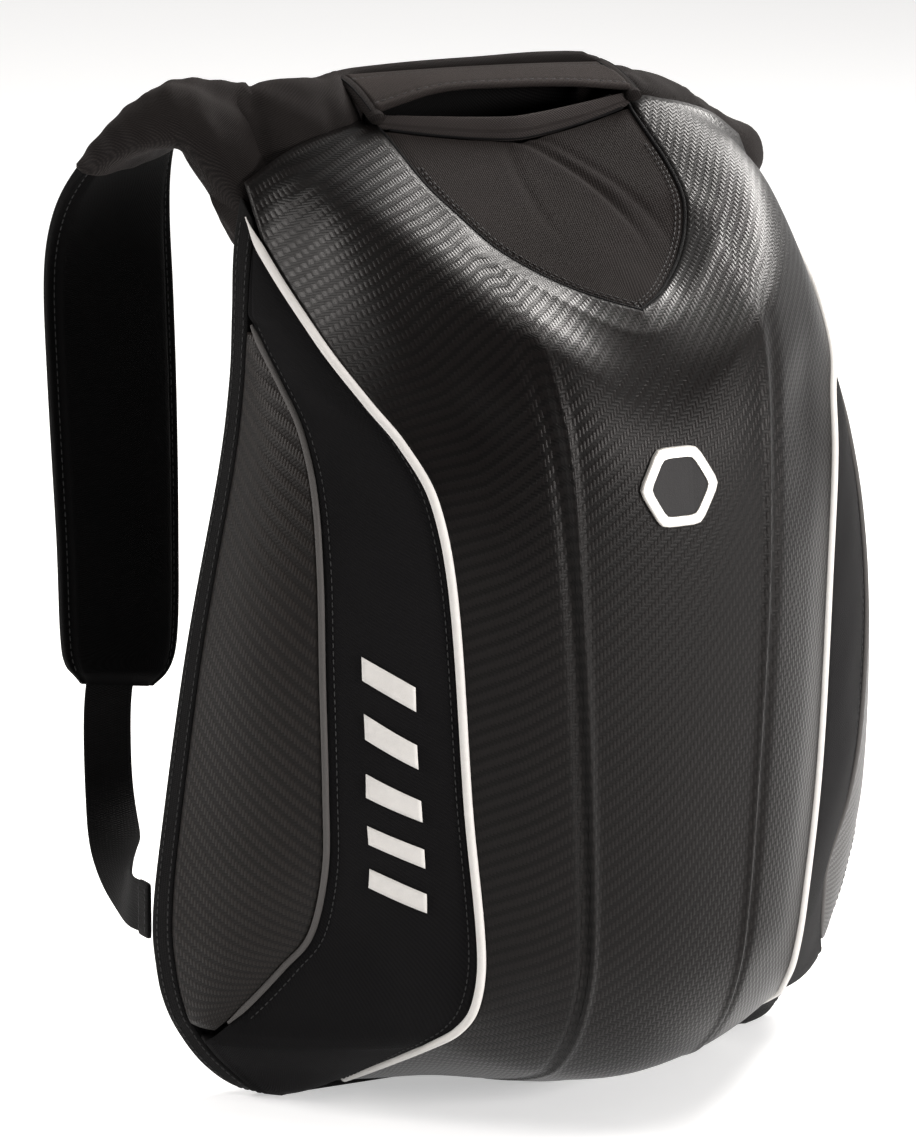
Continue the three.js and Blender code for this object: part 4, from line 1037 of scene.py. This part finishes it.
def binding_body(name, corner, along, inward, stands_for):
    """A folded tape along a line of corners, with its two rows of thread."""
    rings = (corner[:, None] + along[:, None] * (lie * BINDING_WIDTH)[None, :, None]
             + inward[:, None] * (deep * BINDING_THICKNESS)[None, :, None])
    body = loft(name, rings, tape)
    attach(body, "root")
    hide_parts(stands_for)
    for number, reach in enumerate((0.80, 0.28)):
        line = corner + along * BINDING_WIDTH * reach - inward * 0.00005
        seam = stitches(f"{name}_stitches_{number + 1}", line[6:-2], thread_black)
        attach(seam, "root")


edge_places = np.linspace(0.01, 1, 260)
edge_corner = back_edge(edge_places)
edge_lies = binding_lies(edge_places)
edge_in = binding_inward(edge_places)
for name, turned in SIDES:
    binding_body(f"binding_tape_{name}", edge_corner * turned, edge_lies * turned, edge_in * turned,
                 f"edge_binding_{name}")
base_line = np.stack([np.linspace(-BASE_END, BASE_END, 120), np.full(120, ORIGIN[1]), np.zeros(120)], 1)
binding_body("binding_tape_base", base_line, np.tile([0.0, -1, 0], (120, 1)),
             np.tile([0.0, 0, 1], (120, 1)), "edge_binding_base")


# Back panel
# The panel against the wearer is foam behind an open mesh, quilted by two long channels
# into three pads. It is hidden in the photograph.
BACK_PADDING = 0.010
BACK_CROWN = 0.009
CHANNEL = 0.375
mesh = Finish("back_mesh")
mesh_place = mesh.node("ShaderNodeTexCoord", (), (), "Object")
across_mesh, _, up_mesh = mesh.split(mesh_place)
hole_row = up_mesh / 0.0030
hole_column = across_mesh / 0.0034 + (math.floor(hole_row) % 2) * 0.5
hole_and_shade = (hole_row.wave() * hole_column.wave())
mesh_fuzz = mesh.noise(mesh_place, 2400.0, 2.0, 0.6)
mesh_cloud = mesh.noise(mesh_place, 18.0, 3.0, 0.6)
# Painted shade: the mesh's holes are coloured darker than its strands, as shade in them, with random clouds
# of tone.
spacer = mesh.surface(
    hole_and_shade * -0.8 + mesh_fuzz * 0.2, 0.0009,
    Base_Color=mesh.blend((0.014, 0.0135, 0.014, 1), (0.0015, 0.0015, 0.0018, 1),
                          hole_and_shade * 1.5 - 0.1 + mesh_cloud * 0.2),
    Roughness=0.88, Specular_IOR_Level=0.15, Sheen_Weight=0.1, Sheen_Roughness=0.5,
    Sheen_Tint=(0.3, 0.3, 0.3, 1))
pad_places = np.linspace(0.110, 0.965, 70)
pad_edge = back_edge(pad_places)
pad_inner = pad_edge + binding_inward(pad_places) * BINDING_THICKNESS
pad_half = np.minimum(pad_inner[:, 0] + 0.001, pad_edge[:, 0] - 0.001)[:, None]
pad_front = (np.maximum(pad_inner[:, 1], pad_edge[:, 1]) + 2 * CLEARANCE)[:, None]
pad_share = np.linspace(-1, 1, 61)[None]
pad_swell = BACK_CROWN * (1 - pad_share ** 4) * (1 - smooth_step(pad_places, 0.85, 0.95)[:, None])
pad_height = np.broadcast_to(pad_edge[:, 2:], (70, 61))
pad_x = pad_share * pad_half
front_face = np.stack([pad_x, np.broadcast_to(pad_front, pad_x.shape), pad_height], -1)
rear_face = np.stack([pad_x, pad_front + BACK_PADDING - 0.002 + pad_swell, pad_height], -1)
back_pad = loft("back_panel_mesh", np.concatenate([rear_face, front_face[:, ::-1]], 1), spacer)


def rear_only(points):
    return smooth_step(points[:, 1], 0.012, 0.020)


swollen(back_pad, 4.0, 0.003, 0.0045, rear_only)
smoother = back_pad.modifiers.new("smooth", "SUBSURF")
smoother.levels = smoother.render_levels = 1
freeze(back_pad)
points = np.array([v.co for v in back_pad.data.vertices])
half_there = np.interp(-points[:, 2], -pad_edge[:, 2], pad_half[:, 0])
channel_dip = np.exp(-((np.abs(points[:, 0]) / half_there - CHANNEL) / 0.045) ** 2)
cross_dip = np.exp(-((points[:, 2] - 0.115) / 0.006) ** 2) * 0.6
rear_share = smooth_step(points[:, 1], 0.012, 0.020)
points[:, 1] -= 0.0055 * rear_share * np.maximum(channel_dip, cross_dip)
back_pad.data.vertices.foreach_set("co", points.ravel())
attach(back_pad, "root")
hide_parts("back_panel")


# Shoulder straps
# Each strap is a curved foam pad in black cloth, with a flat sewn border. It leaves the
# yoke, arches over and hangs down behind the bag. The right one leans in and hangs lower.
STRAP_WIDTH = 0.067
STRAP_THICKNESS = 0.012
STRAP_REACH = 0.101
# Columns: share of half the width, of the reach and of the height, the way of the strap's
# width, and the share of the full width
STRAP = np.array([
    (0.712, 0.500, 1.010, 0.00, 1.00, -0.12, 0.78), (0.760, 0.525, 1.015, -0.30, 0.95, -0.12, 0.80),
    (0.798, 0.590, 1.007, -0.60, 0.80, -0.12, 0.83), (0.822, 0.690, 0.987, -0.80, 0.60, -0.10, 0.87),
    (0.832, 0.810, 0.959, -0.92, 0.40, -0.05, 0.90), (0.838, 0.920, 0.918, -0.98, 0.20, 0.00, 0.95),
    (0.838, 0.985, 0.870, -1.00, 0.08, 0.00, 0.99), (0.836, 1.000, 0.815, -1.00, 0.00, 0.00, 1.00),
    (0.832, 0.990, 0.730, -1.00, 0.00, 0.00, 1.00), (0.829, 0.975, 0.640, -1.00, 0.00, 0.00, 0.98),
    (0.827, 0.960, 0.550, -1.00, 0.00, 0.00, 0.95), (0.828, 0.950, 0.450, -1.00, 0.00, 0.00, 0.92),
    (0.832, 0.945, 0.415, -1.00, 0.00, 0.00, 0.82), (0.838, 0.943, 0.395, -1.00, 0.00, 0.00, 0.58)])
# Side, shift of the root, share of the outward sweep, inward swing and drop of the top
STRAP_POSES = {"left": (-1, 0.0, 1.0, 0.0, 0.0), "right": (1, -0.005, 0.35, 0.022, 0.044)}


def hanging_frame(table, pose, samples):
    """Middle points of a hanging band, the ways of its width and thickness, and its width."""
    side, root, sweep, swing, drop = STRAP_POSES[pose]
    numbered = np.column_stack([np.arange(len(table)), table])
    place = np.linspace(0, len(table) - 1, samples)
    rows = through_rows(numbered, place)
    out, rear, up = rows[:, 0], rows[:, 1], rows[:, 2]
    moved = (root + (out - STRAP[0, 0]) * (sweep - 1) * HALF_WIDTH
             - swing * smooth_step(-up, -0.97, -0.82))
    middle = np.stack([side * (out * HALF_WIDTH + moved * smooth_step(rear, 0.24, 0.5)),
                       rear * STRAP_REACH + ORIGIN[1],
                       up * HEIGHT - drop * smooth_step(up, 0.6, 0.9)], 1)
    for axis in range(3):
        ends = np.pad(middle[:, axis], 9, mode="reflect", reflect_type="odd")
        middle[:, axis] = np.convolve(ends, np.hanning(19) / np.hanning(19).sum(), "valid")
    along = unit(np.gradient(middle, axis=0))
    if table[0, 4] == 1:
        square = 1 - smooth_step(place, 0, 0.6)[:, None]
        along = unit(along * (1 - square) + np.array([side, 0, 0]) * square)
    wide = rows[:, 3:6] * (side, 1, 1)
    wide = unit(wide - along * (wide * along).sum(-1, keepdims=True))
    return middle, wide, unit(np.cross(wide, along)), rows[:, 6:]


strap_cloth = twill_finish("strap_weave", (0.0005, 0.0005, 0.0005, 1), (0.0034, 0.0032, 0.0033, 1),
                           0.0010, 1.0, 0.84, 0.03)
around = np.linspace(0, 2 * math.pi, 56, endpoint=False)
w = np.sign(np.cos(around)) * np.abs(np.cos(around)) ** 0.62
border = smooth_step(np.abs(w), 0.80, 0.87)
pad_profile = np.sign(np.sin(around)) * (
    (1 - border) * (0.78 + 0.22 * np.sqrt(np.clip(1 - (w / 0.9) ** 4, 0, 1)))
    + border * 0.46 * np.clip(np.abs(np.sin(around)) * 3, 0, 1) ** 0.5)
for pose in STRAP_POSES:
    middle, wide, thick, width_share = hanging_frame(STRAP, pose, 200)
    half_width = (width_share * STRAP_WIDTH / 2)[:, None]
    close = 1 - 0.55 * smooth_step(np.arange(200), 186, 199)
    rings = (middle[:, None] + wide[:, None] * (half_width * w[None, :, None])
             + thick[:, None] * (STRAP_THICKNESS / 2 * pad_profile)[None, :, None] * close[:, None, None])
    strap = loft(f"shoulder_strap_pad_{pose}", rings[14:], strap_cloth)
    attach(strap, "root")
    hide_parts(f"shoulder_strap_{pose}")
    for face in (-1, 1):
        for edge in (-1, 1):
            line = (middle + wide * half_width[:, 0] * edge * 0.89
                    + thick * face * STRAP_THICKNESS / 2 * 0.47)
            face_name = "rear" if face < 0 else "front"
            edge_name = "in" if edge < 0 else "out"
            seam = stitches(
                f"strap_stitches_{pose}_{face_name}_{edge_name}", line[40:-12], thread_black)
            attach(seam, "root")


# Strap roots
# The twill of the yoke runs on over the root of each strap as a padded sleeve, and is sewn
# down on the strap behind its first bend.
SLEEVE_THICKNESS = 0.019


def round_points(ring, count):
    """A closed ring of points at an even spacing."""
    closed = np.concatenate([ring, ring[:1]])
    run = np.concatenate([[0], np.cumsum(np.linalg.norm(np.diff(closed, axis=0), axis=1))])
    places = np.linspace(0, run[-1], count, endpoint=False)
    return np.stack([np.interp(places, run, closed[:, axis]) for axis in range(3)], 1)


def matched(ring, other):
    """The ring turned, and reversed if need be, so that its points lie nearest the other's."""
    flat = other - other.mean(0)
    options = [np.roll(way, turn, axis=0) for way in (ring, ring[::-1]) for turn in range(len(ring))]
    return min(options, key=lambda option: ((option - option.mean(0) - flat) ** 2).sum())


sleeve_turn = np.linspace(0, 2 * math.pi, 64, endpoint=False)
sleeve_w = np.sign(np.cos(sleeve_turn)) * np.abs(np.cos(sleeve_turn)) ** 0.75
sleeve_t = np.sign(np.sin(sleeve_turn)) * np.abs(np.sin(sleeve_turn)) ** 0.75
for pose, side in (("left", -1), ("right", 1)):
    middle, wide, thick, width_share = (part[::8] for part in hanging_frame(STRAP, pose, 209))
    ends = round_points(yoke_ring(np.array([-0.610 if side < 0 else 0.590]), 64)[0], 64)
    rings = [ends.mean(0) + (ends - ends.mean(0)) * 0.97]
    for row, swell, grow, sink in ((2, 1.75, 1.10, -0.003), (4, 1.4, 1.08, -0.002), (6, 1.08, 1.05, -0.001),
                                   (8, 0.82, 1.02, 0)):
        half = width_share[row, 0] * STRAP_WIDTH / 2 * grow
        section_points = (middle[row] + (0, 0, sink) + wide[row] * (half * sleeve_w)[:, None]
                          + thick[row] * (SLEEVE_THICKNESS / 2 * swell * sleeve_t)[:, None])
        rings.append(matched(round_points(section_points, 64), rings[-1]))
    rings = [2 * rings[0] - rings[1]] + rings + [2 * rings[-1] - rings[-2]]
    smooth_rings = [through(*rings[i - 1:i + 3], share) for i in range(1, len(rings) - 2)
                    for share in np.linspace(0, 1, 12, endpoint=False)]
    sleeve_grid = np.array(smooth_rings)
    ripple = np.sin(sleeve_grid[..., 0] * 330 + sleeve_grid[..., 2] * 210) * np.sin(
        sleeve_grid[..., 1] * 240 - sleeve_grid[..., 0] * 120)
    away = unit(sleeve_grid - sleeve_grid.mean(1, keepdims=True))
    sleeve = loft(f"strap_root_sleeve_{pose}", sleeve_grid + away * 0.0008 * ripple[..., None], yoke_cloth)
    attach(sleeve, "root")


# Strap webbing
# A flat webbing is sewn under the tip of each strap. It turns and runs forward to a folded
# tab in the side of the bag, low down.
WEBBING_WIDTH = 0.025
WEBBING_THICKNESS = 0.0018
WEBBING = np.array([
    (0.846, 0.943, 0.425, -1.00, 0.00, 0.00, 1), (0.862, 0.940, 0.388, -1.00, 0.00, 0.00, 1),
    (0.868, 0.935, 0.350, -1.00, 0.00, 0.00, 1),
    (0.872, 0.910, 0.300, -1.00, 0.00, 0.05, 1), (0.882, 0.840, 0.265, -0.96, 0.00, 0.22, 1),
    (0.900, 0.730, 0.240, -0.84, 0.00, 0.50, 1), (0.926, 0.590, 0.224, -0.62, 0.00, 0.78, 1),
    (0.955, 0.420, 0.214, -0.32, 0.00, 0.94, 1), (0.985, 0.240, 0.209, -0.08, 0.00, 1.00, 1),
    (0.985, 0.122, 0.209, 0.00, 0.00, 1.00, 1)])
woven = webbing_finish(
    "strap_webbing_weave", (0.0012, 0.0012, 0.0013, 1), (0.011, 0.0105, 0.0105, 1), 0.0012)
band_turn = np.linspace(0, 2 * math.pi, 40, endpoint=False)
band_w = np.sign(np.cos(band_turn)) * np.abs(np.cos(band_turn)) ** 0.3
band_t = np.sign(np.sin(band_turn)) * np.abs(np.sin(band_turn)) ** 0.5
for pose in STRAP_POSES:
    middle, wide, thick, _ = hanging_frame(WEBBING, pose, 140)
    rings = (middle[:, None] + wide[:, None] * (band_w * WEBBING_WIDTH / 2)[None, :, None]
             + thick[:, None] * (band_t * WEBBING_THICKNESS / 2)[None, :, None])
    band = loft(f"strap_webbing_band_{pose}", rings, woven)
    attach(band, "root")
    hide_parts(f"strap_webbing_{pose}")


# Webbing tabs
# Each webbing is caught in a short folded tab, sewn down with two rows of thread.
ANCHOR_LENGTH = 0.0108
ANCHOR_THICKNESS = 0.003
ANCHOR_OUT = 0.988
ANCHOR_UP = 0.209
tab_rear = WEBBING[-1, 1] * STRAP_REACH - CLEARANCE + ORIGIN[1]
tab_turn = np.linspace(0, 2 * math.pi, 32, endpoint=False)
tab_x = np.sign(np.cos(tab_turn)) * np.abs(np.cos(tab_turn)) ** 0.4 * ANCHOR_THICKNESS / 2
tab_z = np.sign(np.sin(tab_turn)) * np.abs(np.sin(tab_turn)) ** 0.25 * (WEBBING_WIDTH + 0.002) / 2
for name, side in (("left", -1), ("right", 1)):
    rings = np.array([np.stack([
        side * (ANCHOR_OUT * HALF_WIDTH + tab_x * swell), np.full(32, tab_rear - along * ANCHOR_LENGTH),
        ANCHOR_UP * HEIGHT + tab_z * (0.94 + 0.06 * swell)], 1)
        for along, swell in ((0, 0.5), (0.08, 0.9), (0.3, 1), (0.7, 1), (0.92, 0.9), (1, 0.6))])
    tab = loft(f"webbing_tab_{name}", rings, woven)
    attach(tab, "root")
    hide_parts(f"webbing_anchor_{name}")
    for number, along in enumerate((0.2, 0.8)):
        rise = np.linspace(-0.011, 0.011, 30)
        line = np.stack([np.full(30, side * (ANCHOR_OUT * HALF_WIDTH + ANCHOR_THICKNESS / 2)),
                         np.full(30, tab_rear - along * ANCHOR_LENGTH), ANCHOR_UP * HEIGHT + rise], 1)
        seam = stitches(f"tab_stitches_{name}_{number + 1}", line, thread_black)
        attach(seam, "root")
